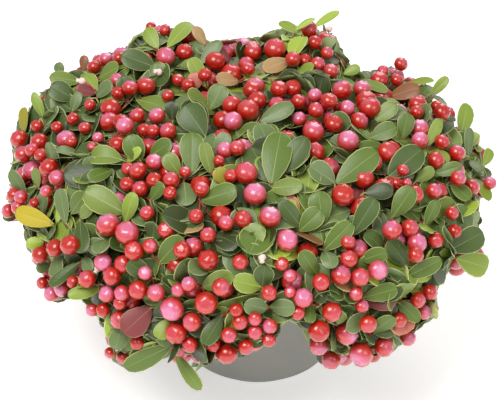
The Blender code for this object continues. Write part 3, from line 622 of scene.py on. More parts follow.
def crown_share(points):
    """How far out in the crown each point is, from 0 at its middle to 1 on its surface.

    The crown is a superellipsoid of its own height above and below the middle. Round the azimuth its lobes
    swell it and change how far it hangs, and tufts and dips change how far it rises.
    """
    x, y, z = points[..., 0] - CROWN_OFFSET, points[..., 1], points[..., 2] - CROWN_LEVEL
    spread = np.hypot(x / CROWN_HALF_WIDTH, y / CROWN_HALF_DEPTH)
    azimuths = np.arctan2(x, -y)
    swell, hang, top = 0 * x, 0 * x + CROWN_HANG, 0 * x + CROWN_RISE
    for azimuth, width, swells, hangs in CROWN_LOBES:
        lobe = bump(azimuths, math.radians(azimuth), math.radians(width))
        swell = swell + swells * lobe
        hang = hang + hangs * lobe
    hang = hang + (LEAST_HANG - hang) * bump(azimuths, PARTING_AZIMUTH, PARTING_SPREAD)
    for tuft_x, tuft_y, width, rises in CROWN_TUFTS:
        top = top + rises * np.exp(-(((points[..., 0] - tuft_x) ** 2 + (y - tuft_y) ** 2) / width**2))
    rise = np.abs(z) / np.where(z > 0, top, hang)
    share = (spread**CROWN_FULLNESS + rise**CROWN_FULLNESS) ** (1 / CROWN_FULLNESS)
    return share / (1 + swell * spread**2)


def crown_depth(points):
    """How deep each point lies under the crown's surface, along the line from the crown's middle."""
    away = np.linalg.norm(points - CROWN_MIDDLE, axis=-1)
    return away * (1 / np.maximum(crown_share(points), 1e-6) - 1)


def crown_normals(points):
    """The ways out of the crown at points of its surface: the steepest rise of the share."""
    step = FINE_STEP * np.eye(3)
    return unit_of(crown_share(points[:, None] + step) - crown_share(points[:, None] - step))


def sight_ways(pixels):
    """The ways from the camera through pixels of the photograph."""
    aside = (pixels[:, :1] - VIEW_MIDDLE[0]) / VIEW_FOCAL
    above = (VIEW_MIDDLE[1] - pixels[:, 1:]) / VIEW_FOCAL
    return unit_of(aside * np.array([1, 0, 0]) + above * VIEW_UP - VIEW_BACK)


def on_crown(pixels, depth):
    """Where each pixel's line of sight first comes to a depth under the surface, or else lies deepest."""
    near, far = (VIEW_DISTANCE + shift for shift in VIEW_SEARCH)
    points = VIEW_EYE + sight_ways(pixels)[:, None] * np.arange(near, far, FINE_STEP)[:, None]
    depths = crown_depth(points)
    inside = depths > depth
    first = np.where(inside.any(axis=1), inside.argmax(axis=1), depths.argmax(axis=1))
    return points[np.arange(len(points)), first]


def in_outline(points, margin=0.0):
    """Whether points, seen from the camera, lie inside the crown's outline by a margin in pixels."""
    turns = np.array(VIEW_OUTLINE, float) - VIEW_MIDDLE
    way = points - VIEW_EYE
    scale = VIEW_FOCAL / -(way @ VIEW_BACK)
    aside, below = way[..., 0] * scale, -(way @ VIEW_UP) * scale
    angles, reach = np.arctan2(turns[:, 1], turns[:, 0]), np.hypot(turns[:, 0], turns[:, 1])
    edge = np.interp(np.arctan2(below, aside), angles, reach, period=math.tau)
    return np.hypot(aside, below) < edge - margin


def kept_in_box(points, inset):
    """The points, with those outside the inset box moved to its sides."""
    return np.clip(points, BOX_LOW + inset, BOX_HIGH - inset)


def plan_leaf_marks():
    """Foot and tip of each marked leaf.

    The tip lies where its line of sight passes nearest to the foot, and is moved along that line towards
    the crown's surface by no more than a share of the gap. Both are kept inside the solids' box.
    """
    pixels = np.array([mark[:4] for mark in LEAF_MARKS], float)
    feet = on_crown(pixels[:, :2], MARK_FOOT_DEPTH)
    ways = sight_ways(pixels[:, 2:])
    reach = ((feet - VIEW_EYE) * ways).sum(axis=1)
    surface = [on_crown(pixels[:, 2:], depth) for depth in MARK_TIP_DEPTHS]
    near, far = (np.linalg.norm(points - VIEW_EYE, axis=1) for points in surface)
    gap = np.linalg.norm(feet - VIEW_EYE - ways * reach[:, None], axis=1)
    lean = np.clip(np.clip(reach, near, far) - reach, -MARK_LEAN * gap, MARK_LEAN * gap)
    tips = VIEW_EYE + ways * (reach + lean)[:, None]
    return kept_in_box(feet, MARK_FOOT_INSET), kept_in_box(tips, MARK_TIP_INSET)


def picked(sites, spacing, others=(), clearance=0.0):
    """The sites that lie clear of each one picked before them, and of some others."""
    kept = []
    for site in sites:
        if kept and np.linalg.norm(np.array(kept) - site, axis=1).min() < spacing:
            continue
        if len(others) and np.linalg.norm(others - site, axis=1).min() < clearance:
            continue
        kept.append(site)
    return np.array(kept)


def even_sites():
    """A close golden-angle spiral of points on the crown's surface."""
    rise = 1 - (np.arange(END_CANDIDATES) + 0.5) / END_CANDIDATES * (1 - LOWEST_END)
    side = np.sqrt(1 - rise**2)
    angle = np.arange(END_CANDIDATES) * GOLDEN_ANGLE
    tall = rise * np.where(rise > 0, CROWN_RISE, CROWN_HANG)
    wide, deep = side * np.sin(angle) * CROWN_HALF_WIDTH, side * np.cos(angle) * CROWN_HALF_DEPTH
    ways = np.stack([wide, deep, tall], axis=1)
    return CROWN_MIDDLE + ways / crown_share(CROWN_MIDDLE + ways)[:, None]


def off_pot(points, clearance=0.002):
    """Whether each point keeps clear of the pot's outside."""
    radius = np.hypot(points[..., 0], points[..., 1])
    return (radius > POT_RIM_RADIUS + clearance) | (points[..., 2] > POT_HEIGHT + clearance)


def between(points, others):
    """Distances from each point to each of some others."""
    return np.linalg.norm(points[:, None] - others[None], axis=2)


def owners(points, limbs):
    """The number of the mass whose centre is nearest to each point."""
    centres = np.array([limb.centre for limb in limbs])
    return between(points, centres).argmin(axis=1)


def plan_ends(feet):
    """Ends of twigs at marked leaves, under marked berries and evenly between, and the normals there."""
    rng = np.random.default_rng(21)
    pixels = np.array([mark[:2] for mark in BERRY_MARKS], float)
    marked = picked(feet, MARK_SPACING)
    roots = picked(on_crown(pixels, BERRY_ROOT_DEPTH), BERRY_ROOT_SPACING, marked, BERRY_ROOT_SPACING)
    marked = np.concatenate([marked, roots])
    even = picked(even_sites(), TWIG_SPACING)
    under = even - crown_normals(even) * WHORL_DEPTH
    even = even[between(under, marked).min(axis=1) > MARK_CLEARANCE]
    even += rng.normal(0, TWIG_JITTER, even.shape)
    normals = crown_normals(even)
    depth = WHORL_DEPTH + UNEVEN_DEPTH * np.tanh(ripples(even, UNEVEN_WIDTH, 12, 22))
    depth += rng.uniform(*END_STRAY, len(even))
    even = even - normals * depth[:, None]
    inside = in_outline(even, TWIG_MARGIN)
    ends = np.concatenate([marked, even[inside]])
    return ends, np.concatenate([crown_normals(marked), normals[inside]])


def grow_twigs(limbs, ends, normals):
    """The ends that twigs can reach, their normals, ways and masses, and each mass's shoots and twigs.

    A shoot or twig is three control points and two radii. It is left out where the pot is in its way.
    """
    rng = np.random.default_rng(23)
    sites = picked(even_sites(), SHOOT_SPACING)
    shoot_ends, shoot_of = sites - crown_normals(sites) * SHOOT_DEPTH, owners(sites, limbs)
    mass_of = owners(ends, limbs)
    curves, keep = [], np.zeros(len(ends), bool)
    for number, limb in enumerate(limbs):
        foot, knee = limb.tip + limb.arrive * LIMB_GAP, limb.centre - limb.arrive * STEM_BEND
        stem = [(foot, knee, limb.centre, *STEM_RADII)]
        fan = []
        for end in shoot_ends[shoot_of == number]:
            way = end - limb.centre
            clear = off_pot(limb.centre + way * np.linspace(0, 1, 9)[:, None]).all()
            if clear and np.linalg.norm(way) > SHORTEST_SHOOT:
                arch = np.array([0, 0, 0.10 * np.linalg.norm(way)])
                fan.append((limb.centre, limb.centre + 0.5 * way + arch, end, *SHOOT_RADII))
        fan_bends = np.array([strand[:3] for strand in fan])
        roots = bezier(fan_bends, (0.35, 0.5, 0.65, 0.8)).reshape(-1, 3)
        twigs = []
        for k in np.flatnonzero(mass_of == number):
            away = np.linalg.norm(roots - ends[k], axis=1)
            root = roots[np.where(away > SHORTEST_TWIG, away, 1).argmin()]
            way = ends[k] - root
            if not off_pot(root + way * np.linspace(0, 1, 7)[:, None]).all():
                continue
            keep[k] = True
            bow = TWIG_BOW * np.linalg.norm(way) * normals[k]
            bend = root + 0.55 * way - bow + rng.normal(0, TWIG_BEND_JITTER, 3)
            twigs.append((root, bend, ends[k], *TWIG_RADII))
        curves.append((stem + fan, twigs))
    arrive = unit_of(ends - np.array([limbs[m].centre for m in mass_of]))
    return ends[keep], normals[keep], arrive[keep], mass_of[keep], curves


def make_twigs(limbs, curves):
    """One piece for each mass: woody shoots and finer twigs, red and then green, with small swellings."""
    wood = finish_of("young_brown_bark", "6a4634", 0.7, grain=0.0008, relief=0.0002)
    red = finish_of("red_twig_bark", "a04a40", 0.55, grain=0.0007, relief=0.00012)
    green = finish_of("green_twig_bark", "9a9150", 0.55, grain=0.0007, relief=0.00012)
    share = np.linspace(0, 1, 7)
    for number, limb in enumerate(limbs):
        shoots, twigs = curves[number]
        strands = shoots + twigs
        paths = bezier(np.array([strand[:3] for strand in strands]), share)
        thick = np.array([strand[3:] for strand in strands])
        radii = thick[:, :1] + (thick[:, 1:] - thick[:, :1]) * share
        radii = radii * (1 + 0.12 * np.sin(share * 19 + np.arange(len(strands))[:, None]))
        slots = np.zeros((len(strands), len(share) + 1, 1), int)
        slots[len(shoots) :] = np.where(np.arange(len(share) + 1) < 6, 1, 2)[None, :, None]
        dress(tubes(f"twigs_{limb.name}", paths, radii, 6, slots, [wood, red, green]), "woody_stem")


leaf_feet, leaf_tips = plan_leaf_marks()
ends, normals = plan_ends(leaf_feet)
ends, normals, arrive, mass_of, curves = grow_twigs(limbs, ends, normals)
make_twigs(limbs, curves)


# Berries
# Fleshy red capsules, 9 to 15 mm across, with a waxy skin: orange-red round the stalk and pink towards the
# five
# lobes that close round the outer end. The bands are partly the berry's own colour and partly painted light:
# the pink end, turned up to the lights, is a painted lit side and highlight, and the deep red round the
# stalk is painted shade. They stand in tight clusters on red stalks.

BERRY_RADIUS = 0.0070
BERRY_SHAPE = 0.93
BERRY_SIDES = 10
# Where the rings of a berry lie, in degrees from the stalk, and the colour of each band from stalk to end:
# deep red round the stalk, partly painted shade, to pink at the outer end, partly a painted lit side
BERRY_RINGS = (28, 56, 78, 96, 114, 130, 146, 161)
BERRY_SKINS_AND_PAINTED_LIGHT = ("a01404", "aa1605", "b21c0a", "b82618", "be302a", "c44048", "c85264", "ce6484", "d6789c")
BERRY_BANDS = (
    (0, 0, 0, 1, 1, 2, 3, 3, 4),
    (0, 0, 1, 1, 2, 3, 4, 5, 5),
    (0, 0, 1, 2, 3, 4, 5, 6, 6),
    (0, 1, 1, 2, 4, 5, 6, 7, 7),
    (0, 1, 2, 4, 5, 6, 7, 8, 8),
)
BERRY_DEPTHS = (0.004, 0.001, -0.002, 0.007, 0.010, 0.014)
BERRY_TRIALS = 40
BERRY_MARGIN = 10
FRUITING_SHARE = 0.42
FRONT_FRUITING_SHARE = 0.24
LONGEST_STALK = 0.034
MARKED_SCALE = 1.05
MARKED_SQUEEZE = 0.0030
BERRY_CLEARANCE = 0.0006
POT_CLEARANCE = 0.001
SIGHT_CLEARANCE = 0.004
# Normals that lean this much or more to the camera are at the front
FRONT_FACING = 0.2
# Clusters: how far the middle lies beyond its twig's end and strays, and how wide and deep its berries lie
CLUSTER_RISE = 0.007
CLUSTER_JITTER = 0.004
CLUSTER_SPREAD = 0.0085
CLUSTER_DEPTHS = (0.001, 0.015)
STALK_RADIUS = 0.00045
STALK_BEND = 0.004
STALK_RISE = 0.001


def in_box(points, inset):
    """Whether each point lies inside the solids' box by an inset."""
    return ((points > BOX_LOW + inset) & (points < BOX_HIGH - inset)).all(axis=-1)


class Fruit:
    """Berries in order of placing: middles, radii, the numbers of their twigs and which are marked."""

    def __init__(self):
        self.centres, self.sizes, self.twigs, self.marked = np.empty((0, 3)), np.empty(0), [], []

    def fits(self, centres, radius, keep_off, squeeze=0.0005):
        """Whether a berry of a radius fits at each place: in the box, off the pot and off what is there."""
        good = in_box(centres, radius) & off_pot(centres, radius + POT_CLEARANCE)
        if len(self.sizes):
            away = between(centres, self.centres) - self.sizes - radius
            good &= away.min(axis=1) > -squeeze
        if len(keep_off):
            good &= between(centres, keep_off).min(axis=1) > radius + BERRY_CLEARANCE
        return good

    def add(self, centre, radius, twig, marked):
        """Puts a berry in its place."""
        self.centres = np.concatenate([self.centres, centre[None]])
        self.sizes = np.append(self.sizes, radius)
        self.twigs.append(twig)
        self.marked.append(marked)


def blade_points(foot, tip):
    """Points along the middle line of each marked leaf."""
    return (foot[:, None] + (tip - foot)[:, None] * np.linspace(0.2, 0.95, 5)[:, None]).reshape(-1, 3)


def off_sights(centres, radius, guards):
    """Whether a berry of a radius at each place leaves the camera's view of some points open."""
    way = centres[:, None] - guards[None]
    ahead = way @ VIEW_BACK
    beside = np.linalg.norm(way - ahead[..., None] * VIEW_BACK, axis=2)
    return ~((ahead > 0) & (beside < radius + SIGHT_CLEARANCE)).any(axis=1)


def place_berries(ends, normals):
    """The marked berries first, then a cluster at each fruiting twig, as tight as the room there allows."""
    rng = np.random.default_rng(31)
    fruit = Fruit()
    keep_off = blade_points(leaf_feet, leaf_tips)
    marks = np.array(BERRY_MARKS, float)
    layers = np.stack([on_crown(marks[:, :2], depth) for depth in BERRY_DEPTHS], axis=1)
    for places, radius in zip(layers, marks[:, 2]):
        size = MARKED_SCALE * radius * np.linalg.norm(places - VIEW_EYE, axis=1).mean() / VIEW_FOCAL
        twig = np.linalg.norm(ends - places[0], axis=1).argmin()
        good = fruit.fits(places, size, keep_off, MARKED_SQUEEZE)
        if good.any() and np.linalg.norm(ends[twig] - places[0]) < LONGEST_STALK:
            fruit.add(places[good.argmax()], size, twig, True)
    facing = normals @ VIEW_BACK
    for k in rng.permutation(len(ends)):
        share = FRONT_FRUITING_SHARE if facing[k] > FRONT_FACING else FRUITING_SHARE
        if rng.random() > share:
            continue
        wanted = rng.choice((2, 3, 4, 5, 6), p=(0.14, 0.24, 0.28, 0.20, 0.14))
        vigour = rng.choice((1.0, 0.93, 0.78), p=(0.55, 0.30, 0.15))
        middle = ends[k] + CLUSTER_RISE * normals[k] + rng.normal(0, CLUSTER_JITTER, 3)
        for _ in range(wanted):
            radius = BERRY_RADIUS * vigour * rng.uniform(0.9, 1.08)
            trials = middle + rng.normal(0, CLUSTER_SPREAD, (BERRY_TRIALS, 3))
            depth = crown_depth(trials)
            good = (depth > CLUSTER_DEPTHS[0]) & (depth < CLUSTER_DEPTHS[1])
            good &= fruit.fits(trials, radius, keep_off) & off_sights(trials, radius, keep_off)
            good &= in_outline(trials, BERRY_MARGIN)
            if good.any():
                away = np.linalg.norm(trials - middle, axis=1)
                fruit.add(trials[np.where(good, away, 1).argmin()], radius, k, False)
    return fruit


def berry_axes(fruit, ends):
    """The way each berry's outer end faces: out of the crown, up so that its pink painted lit side is on
    top, off its stalk and a little astray.
    """
    rng = np.random.default_rng(33)
    outward = crown_normals(fruit.centres)
    spread = unit_of(fruit.centres - ends[fruit.twigs])
    # Tilts the pink outer end up to the lights, so its pink works as a painted lit side and highlight
    up_to_lights = np.array([0, 0, 0.55])
    return unit_of(0.75 * outward + 0.3 * spread + up_to_lights + rng.normal(0, 0.34, outward.shape))


def berry_rings(centres, axes, sizes):
    """Rings of berries about their axes: a flattened globe, with five creases that deepen to its outer end.

    At an angle from the stalk the radius is the globe's, less a crease at every second side that grows with
    the square of the angle past the middle, and the outer end is drawn in to a small pit.
    """
    angle = np.radians(BERRY_RINGS)[:, None]
    turn = np.arange(BERRY_SIDES) * math.tau / BERRY_SIDES
    past = np.clip((angle - 1.7) / 1.0, 0, 1) ** 2
    crease = 1 - 0.11 * past * (np.arange(BERRY_SIDES) % 2)
    out, along = np.sin(angle) * crease, -np.cos(angle) * BERRY_SHAPE * crease + 0 * turn
    across = unit_of(np.cross(axes, np.array([0.31, 0.17, 0.93])))
    above = np.cross(axes, across)
    circle = np.cos(turn)[:, None] * across[:, None] + np.sin(turn)[:, None] * above[:, None]
    points = circle[:, None] * out[None, ..., None] + axes[:, None, None] * along[None, ..., None]
    rings = centres[:, None, None] + points * sizes[:, None, None, None]
    first = centres - axes * (sizes * BERRY_SHAPE * 0.97)[:, None]
    last = centres + axes * (sizes * BERRY_SHAPE * 0.76)[:, None]
    return rings, first, last


def make_berries(limbs, fruit, axes, masses):
    """One piece for each mass. Each band of a berry has one plain colour, with painted shade at the stalk
    and a painted lit side at the pink end, and some berries are pinker.
    """
    rng = np.random.default_rng(35)
    wax = {"grain": 0.0011, "relief": 0.00003, "Coat_Weight": 0.7, "Coat_Roughness": 0.08}
    skins_and_painted_light = [finish_of(f"berry_skin_and_painted_light_{k}", skin, 0.3, **wax) for k, skin in enumerate(BERRY_SKINS_AND_PAINTED_LIGHT)]
    tones = rng.choice(len(BERRY_BANDS), len(masses), p=(0.14, 0.22, 0.26, 0.22, 0.16))
    for number, limb in enumerate(limbs):
        mine = masses == number
        rings, first, last = berry_rings(fruit.centres[mine], axes[mine], fruit.sizes[mine])
        slots = np.array(BERRY_BANDS)[tones[mine]][:, :, None]
        dress(shells(f"berries_{limb.name}", rings, first, last, slots, skins_and_painted_light))


def make_stalks(limbs, fruit, axes, masses, ends):
    """Thin red stalks from the twigs' ends, bent over by the berries' weight."""
    red = finish_of("red_berry_stalk", "b5423c", 0.5, grain=0.0008, relief=0.0001)
    for number, limb in enumerate(limbs):
        mine = masses == number
        roots = ends[fruit.twigs][mine]
        foot = fruit.centres[mine] - axes[mine] * (fruit.sizes[mine] * BERRY_SHAPE * 0.9)[:, None]
        bend = foot - axes[mine] * STALK_BEND + np.array([0, 0, STALK_RISE])
        paths = bezier(np.stack([roots, bend, foot], axis=1), np.linspace(0, 1, 5))
        dress(tubes(f"berry_stalks_{limb.name}", paths, STALK_RADIUS, 5, 0, [red]))


fruit = place_berries(ends, normals)
berry_ways = berry_axes(fruit, ends)
berry_masses = mass_of[fruit.twigs]
make_berries(limbs, fruit, berry_ways, berry_masses)
make_stalks(limbs, fruit, berry_ways, berry_masses, ends)


# Bells
# A few late flowers among the leaves: waxy, pinkish white urns, six millimetres long, that nod on red stalks
# from the ends of the twigs.

BELL_LENGTH = 0.0062
# Radius over length along a bell, from its stalk to its mouth
BELL_PROFILE = (0.14, 0.32, 0.40, 0.38, 0.27, 0.20, 0.26)
BELL_SIDES = 8
BELL_SHARE = 0.022
BELL_DEPTH = -0.001
BELL_JITTER = 0.004
BELL_INSET = 0.006
BELL_CLEARANCE = 0.003
BELL_TOP = 0.0003
BELL_STALK_BEND = 0.003
BELL_STALK_RADIUS = 0.0005
BELL_MARKS = ((158, 72), (81, 81), (262, 258), (198, 345), (47, 168), (68, 236))


def place_bells(ends, normals, fruit):
    """Bells at marked places and at some twigs all round, where no berry is in the way."""
    rng = np.random.default_rng(51)
    spots = on_crown(np.array(BELL_MARKS, float), BELL_DEPTH)
    chosen = np.flatnonzero(rng.random(len(ends)) < BELL_SHARE)
    loose = ends[chosen] + normals[chosen] * (WHORL_DEPTH - BELL_DEPTH)
    loose += rng.normal(0, BELL_JITTER, loose.shape)
    spots = np.concatenate([spots, loose[in_outline(loose, TWIG_MARGIN)]])
    away = between(spots, fruit.centres) - fruit.sizes
    good = in_box(spots, BELL_INSET) & off_pot(spots, BELL_INSET) & (away.min(axis=1) > BELL_CLEARANCE)
    return spots[good]


def make_bells(spots, ends, normals):
    """Each bell is a turned urn about its own axis, which nods out and down from its stalk."""
    petal = finish_of("pinkish_white_petal", "f0cfc8", 0.45, grain=0.001, relief=0.00003)
    lip = finish_of("cream_petal_lip", "f4e6d4", 0.5)
    red = finish_of("red_flower_stalk", "c25a4e", 0.5, grain=0.0008, relief=0.0001)
    twigs = between(spots, ends).argmin(axis=1)
    nod = unit_of(0.9 * normals[twigs] + np.array([0, 0, -0.8]))
    share = np.linspace(0, 1, len(BELL_PROFILE))
    starts = spots - nod * BELL_LENGTH / 2
    paths = starts[:, None] + nod[:, None] * (share * BELL_LENGTH)[:, None]
    radii = np.broadcast_to(np.array(BELL_PROFILE) * BELL_LENGTH, paths.shape[:2])
    rings = tube_rings(paths, radii, BELL_SIDES)
    slots = np.where(np.arange(len(BELL_PROFILE) + 1) < len(BELL_PROFILE) - 1, 0, 1)[None, :, None]
    tops = paths[:, 0] - nod * BELL_TOP
    dress(shells("wintergreen_bells", rings, tops, paths[:, -2], slots, [petal, lip]))
    bend = (ends[twigs] + starts) / 2 + normals[twigs] * BELL_STALK_BEND
    stalks = bezier(np.stack([ends[twigs], bend, starts], axis=1), np.linspace(0, 1, 6))
    dress(tubes("bell_stalks", stalks, BELL_STALK_RADIUS, 5, 0, [red]))


make_bells(place_bells(ends, normals, fruit), ends, normals)


# Leaves
# Evergreen leaves, oval to spoon-shaped, thick and leathery: a satin upper side with a thin pale midrib, a
# thin yellowish rim, and a matt, paler underside. They stand in whorls round the ends of the twigs, and a
# few turn yellow, bronze or maroon in the cold.

LEAF_LENGTH = (0.0235, 0.0340)
LEAF_PLUMPNESS = (0.56, 0.72)
YOUNG_PLUMPNESS = (0.30, 0.44)
LEAF_THICKNESS = 0.0004
LEAF_ROWS = 7
RIM_WIDTH = 0.00050
RIB_WIDTH = 0.00022
MIDDLING_HALF_WIDTH = 0.0078
# Angles in degrees that a leaf tries in turn: up from the plane square to its whorl's axis, and round it
LEAF_LIFTS = (26, 42, 56, 70, 14, 80, 2)
LEAF_SWINGS = (0, 22, -22, 45, -45, 70, -70)
# How far its points may rise over the crown's surface, and how close they may come to others and to berries
LEAF_RISE = (0.003, 0.008)
LEAF_GAP = 0.0015
BERRY_GAP = 0.0003
BOX_INSET = 0.0008
# Leaves of a whorl spring from the twig one behind another, and the older ones further down
JOINT_STEP = 0.0012
OLDER_STEP = 0.005
LEAF_STALK = 0.0028
LEAF_STALK_LAP = 0.0016
LEAF_STALK_SAG = 0.0006
LEAN_ASIDE = 0.38
OLDER_LEAVES = 4
# The inner layer: how many leaves spring at each place of a shoot, as a share of its way, and how they lift
SHADED_LEAVES = 7
SHADED_PLACES = (1.0, 0.70)
SHADED_LIFTS = (10, 26, -8, 42)
SHADED_SIZES = (0.95, 1.12)
LEAF_MARGIN = 1
# Lines of sight that stay open: the share of berries that have one, its width over that of a marked and of a
# loose berry, its width at a marked leaf, and its length
OPEN_SHARE = 0.85
MARKED_SIGHT = 0.95
LOOSE_SIGHT = 0.8
LEAF_SIGHT = 0.0035
SIGHT_LENGTH = 0.028
# Marked leaves: how far a foot may lie from its twig, how much a leaf bends, and in how many steps one that
# leaves the box is trimmed
MARK_STALK = 0.012
MARK_BEND = (0.08, 0.35)
MARK_TRIMS = 8
# How far round a twig's end leaf points, berries and lines of sight are looked for
NEAR_LEAF = 0.055
NEAR_BERRY = 0.050
NEAR_SIGHT = 0.060
YOUNG_LIFTS = (70, 62, 78, 50)
YOUNG_RISE = 0.012
YOUNG_SHARE = 0.04
TINTED_SHARE = 0.02
# Tints of the blades, from old to young and then the autumn ones: upper side, underside, and rim and midrib
LEAF_TINTS = {
    "old": ("384420", "68744a", "8c925c"),
    "dark": ("465a27", "72824c", "a2a86a"),
    "grey": ("677a49", "909e6c", "b4ba88"),
    "mid": ("5a702b", "869656", "b2b86e"),
    "full": ("72853a", "98a566", "bec27a"),
    "fresh": ("84993a", "a6b466", "c8ce82"),
    "young": ("9cb242", "b8c678", "d0d68c"),
    "olive": ("968e2c", "a49c50", "aca456"),
    "yellow": ("b4a226", "b8a850", "bcae4c"),
    "bronze": ("8a5a38", "a07a54", "ac8c58"),
    "maroon": ("7e3c3a", "96605a", "a4705c"),
    "salmon": ("c2705c", "cc907c", "d0a080"),
    "tan": ("ac8a5c", "bca880", "c8b488"),
}
GREEN_SHARES = (0.08, 0.20, 0.17, 0.25, 0.17, 0.09, 0.04)


def blade(u, v, sink, leaf):
    """Points of leaves. u runs from root to tip, v across from -1 to 1, and sink is a part of the thickness.

    The midrib is an arc that turns by the leaf's bend. The half width is u^p (1-u)^q over its largest value.
    Across, the blade rises from the midrib by its fold times |v|, by its cup times v squared and by a wave
    along its edges. The whole section turns about the midrib by the leaf's twist towards the tip.
    """
    size, bend = leaf["length"], leaf["bend"]
    p, q = leaf["foot"], leaf["head"]
    most = (p / (p + q)) ** p * (q / (p + q)) ** q
    half = leaf["width"] / 2 * u**p * (1 - u) ** q / most
    turn = bend * u
    forward = size * np.sin(turn) / bend
    fall = -size * (1 - np.cos(turn)) / bend
    across = half * v
    wave = leaf["wave"] * size * np.sin(9 * u + 2 * v) * v
    rise = half * (leaf["fold"] * np.abs(v) + leaf["cup"] * v * v) + wave - sink * LEAF_THICKNESS
    cos, sin = np.cos(leaf["twist"] * u), np.sin(leaf["twist"] * u)
    across, rise = across * cos - rise * sin, across * sin + rise * cos
    forward, fall = forward + rise * np.sin(turn), fall + rise * np.cos(turn)
    side = np.cross(leaf["up"], leaf["along"])
    forward, across, fall = (part[..., None] for part in (forward, across, fall))
    return leaf["root"] + forward * leaf["along"] + across * side + fall * leaf["up"]


def leaf_shape(rng, size, young=False):
    """The proportions of one leaf, drawn at random within what the species shows."""
    length = rng.uniform(*LEAF_LENGTH) * size * rng.choice((1.0, 0.76), p=(0.7, 0.3))
    plump = rng.uniform(*(YOUNG_PLUMPNESS if young else LEAF_PLUMPNESS))
    curl = rng.choice((1.0, 2.2), p=(0.85, 0.15))
    return {
        "length": length,
        "width": length * plump,
        "foot": rng.uniform(0.68, 0.92),
        "head": rng.uniform(0.42, 0.55),
        "bend": rng.uniform(0.06, 0.7) * curl * rng.choice((1, 1, 1, -0.6)),
        "fold": rng.uniform(-0.02, 0.30),
        "cup": rng.uniform(-0.22, 0.12),
        "twist": rng.normal(0, 0.22),
        "wave": rng.uniform(0, 0.011),
    }


def marked_leaf(rng, mark, foot, tip):
    """A leaf between a marked foot and tip, which faces partly to the camera and partly out of the crown."""
    shape = leaf_shape(rng, 1.0)
    chord, length = unit_of(tip - foot), np.linalg.norm(tip - foot)
    face = 0.7 * VIEW_BACK + 0.5 * crown_normals(foot[None])[0]
    face = unit_of(face - chord * (face @ chord))
    bend = rng.uniform(*MARK_BEND)
    half = bend / 2
    shape.update(
        length=length * half / math.sin(half),
        width=length * (mark[4] / 100),
        bend=bend,
        twist=rng.normal(0, 0.08),
        root=foot,
        along=math.cos(half) * chord + math.sin(half) * face,
        up=math.cos(half) * face - math.sin(half) * chord,
        colour=mark[5],
    )
    return shape


class Room:
    """What is in the way of new leaves: berries, points of leaves, and lines of sight that stay open."""

    def __init__(self, fruit, rng):
        self.fruit = fruit
        self.taken = np.empty((0, 3))
        kept = (rng.random(len(fruit.sizes)) < OPEN_SHARE) | np.array(fruit.marked)
        outward = crown_normals(fruit.centres)
        outward[np.array(fruit.marked)] = VIEW_BACK
        widths = np.where(fruit.marked, MARKED_SIGHT, LOOSE_SIGHT) * fruit.sizes
        self.sights = [fruit.centres[kept], outward[kept], widths[kept]]
        spots = np.meshgrid((0.25, 0.5, 0.75, 0.97), (-0.8, 0, 0.8))
        self.spots = [grid.ravel() for grid in spots]
        close = np.meshgrid(np.linspace(0.12, 0.97, 8), (-0.85, -0.42, 0, 0.42, 0.85))
        self.close_spots = [grid.ravel() for grid in close]

    def keep_open(self, points, radius):
        """Keeps the photograph's lines of sight to some points open."""
        more = points, np.broadcast_to(VIEW_BACK, points.shape), np.full(len(points), radius)
        self.sights = [np.concatenate(pair) for pair in zip(self.sights, more)]

    def about(self, place):
        """What stands round a place: leaf points, berries and lines of sight."""
        leaf = np.linalg.norm(self.taken - place, axis=1) < NEAR_LEAF
        berry = np.linalg.norm(self.fruit.centres - place, axis=1) < NEAR_BERRY
        sight = np.linalg.norm(self.sights[0] - place, axis=1) < NEAR_SIGHT
        berries = self.fruit.centres[berry], self.fruit.sizes[berry]
        return [self.taken[leaf], *berries, *(part[sight] for part in self.sights)]

def stands_free(points, near, rise):
    """Whether a leaf's points lie in the box, off the pot and clear of all that stands round them."""
    leaf, berries, sizes, open_at, open_way, open_width = near
    if not (in_box(points, BOX_INSET) & off_pot(points, POT_CLEARANCE)).all():
        return False
    if (crown_depth(points) < -rise).any() or not in_outline(points, LEAF_MARGIN).all():
        return False
    if len(berries) and (between(points, berries) - sizes).min() < BERRY_GAP:
        return False
    if len(leaf) and between(points[3:], leaf).min() < LEAF_GAP:
        return False
    if not len(open_at):
        return True
    way = points[:, None] - open_at[None]
    ahead = (way * open_way).sum(axis=2)
    beside = (way**2).sum(axis=2) - ahead**2
    return not ((ahead > 0) & (ahead < SIGHT_LENGTH) & (beside < open_width**2)).any()


def first_fit(room, near, shape, joint, up, start, lean_aside, lifts, rise):
    """The leaf lifted and swung round its joint in the first way in which it stands free, or None."""
    aside = unit_of(np.cross(up, np.array([0.2, 1, 0.1])))
    onward = np.cross(up, aside)
    for lift, swing in product(lifts, LEAF_SWINGS):
        angle = start + math.radians(swing)
        lean = math.radians(lift)
        flat = math.cos(angle) * aside + math.sin(angle) * onward
        along = math.cos(lean) * flat + math.sin(lean) * up
        face = math.cos(lean) * up - math.sin(lean) * flat
        face = unit_of(face + lean_aside * np.cross(face, along))
        trial = dict(shape, root=joint + along * LEAF_STALK, along=along, up=face, joint=joint)
        points = blade(*room.spots, 0, trial)
        if stands_free(points, near, rise):
            near[0] = np.concatenate([near[0], points])
            room.taken = np.concatenate([room.taken, points])
            return trial
    return None


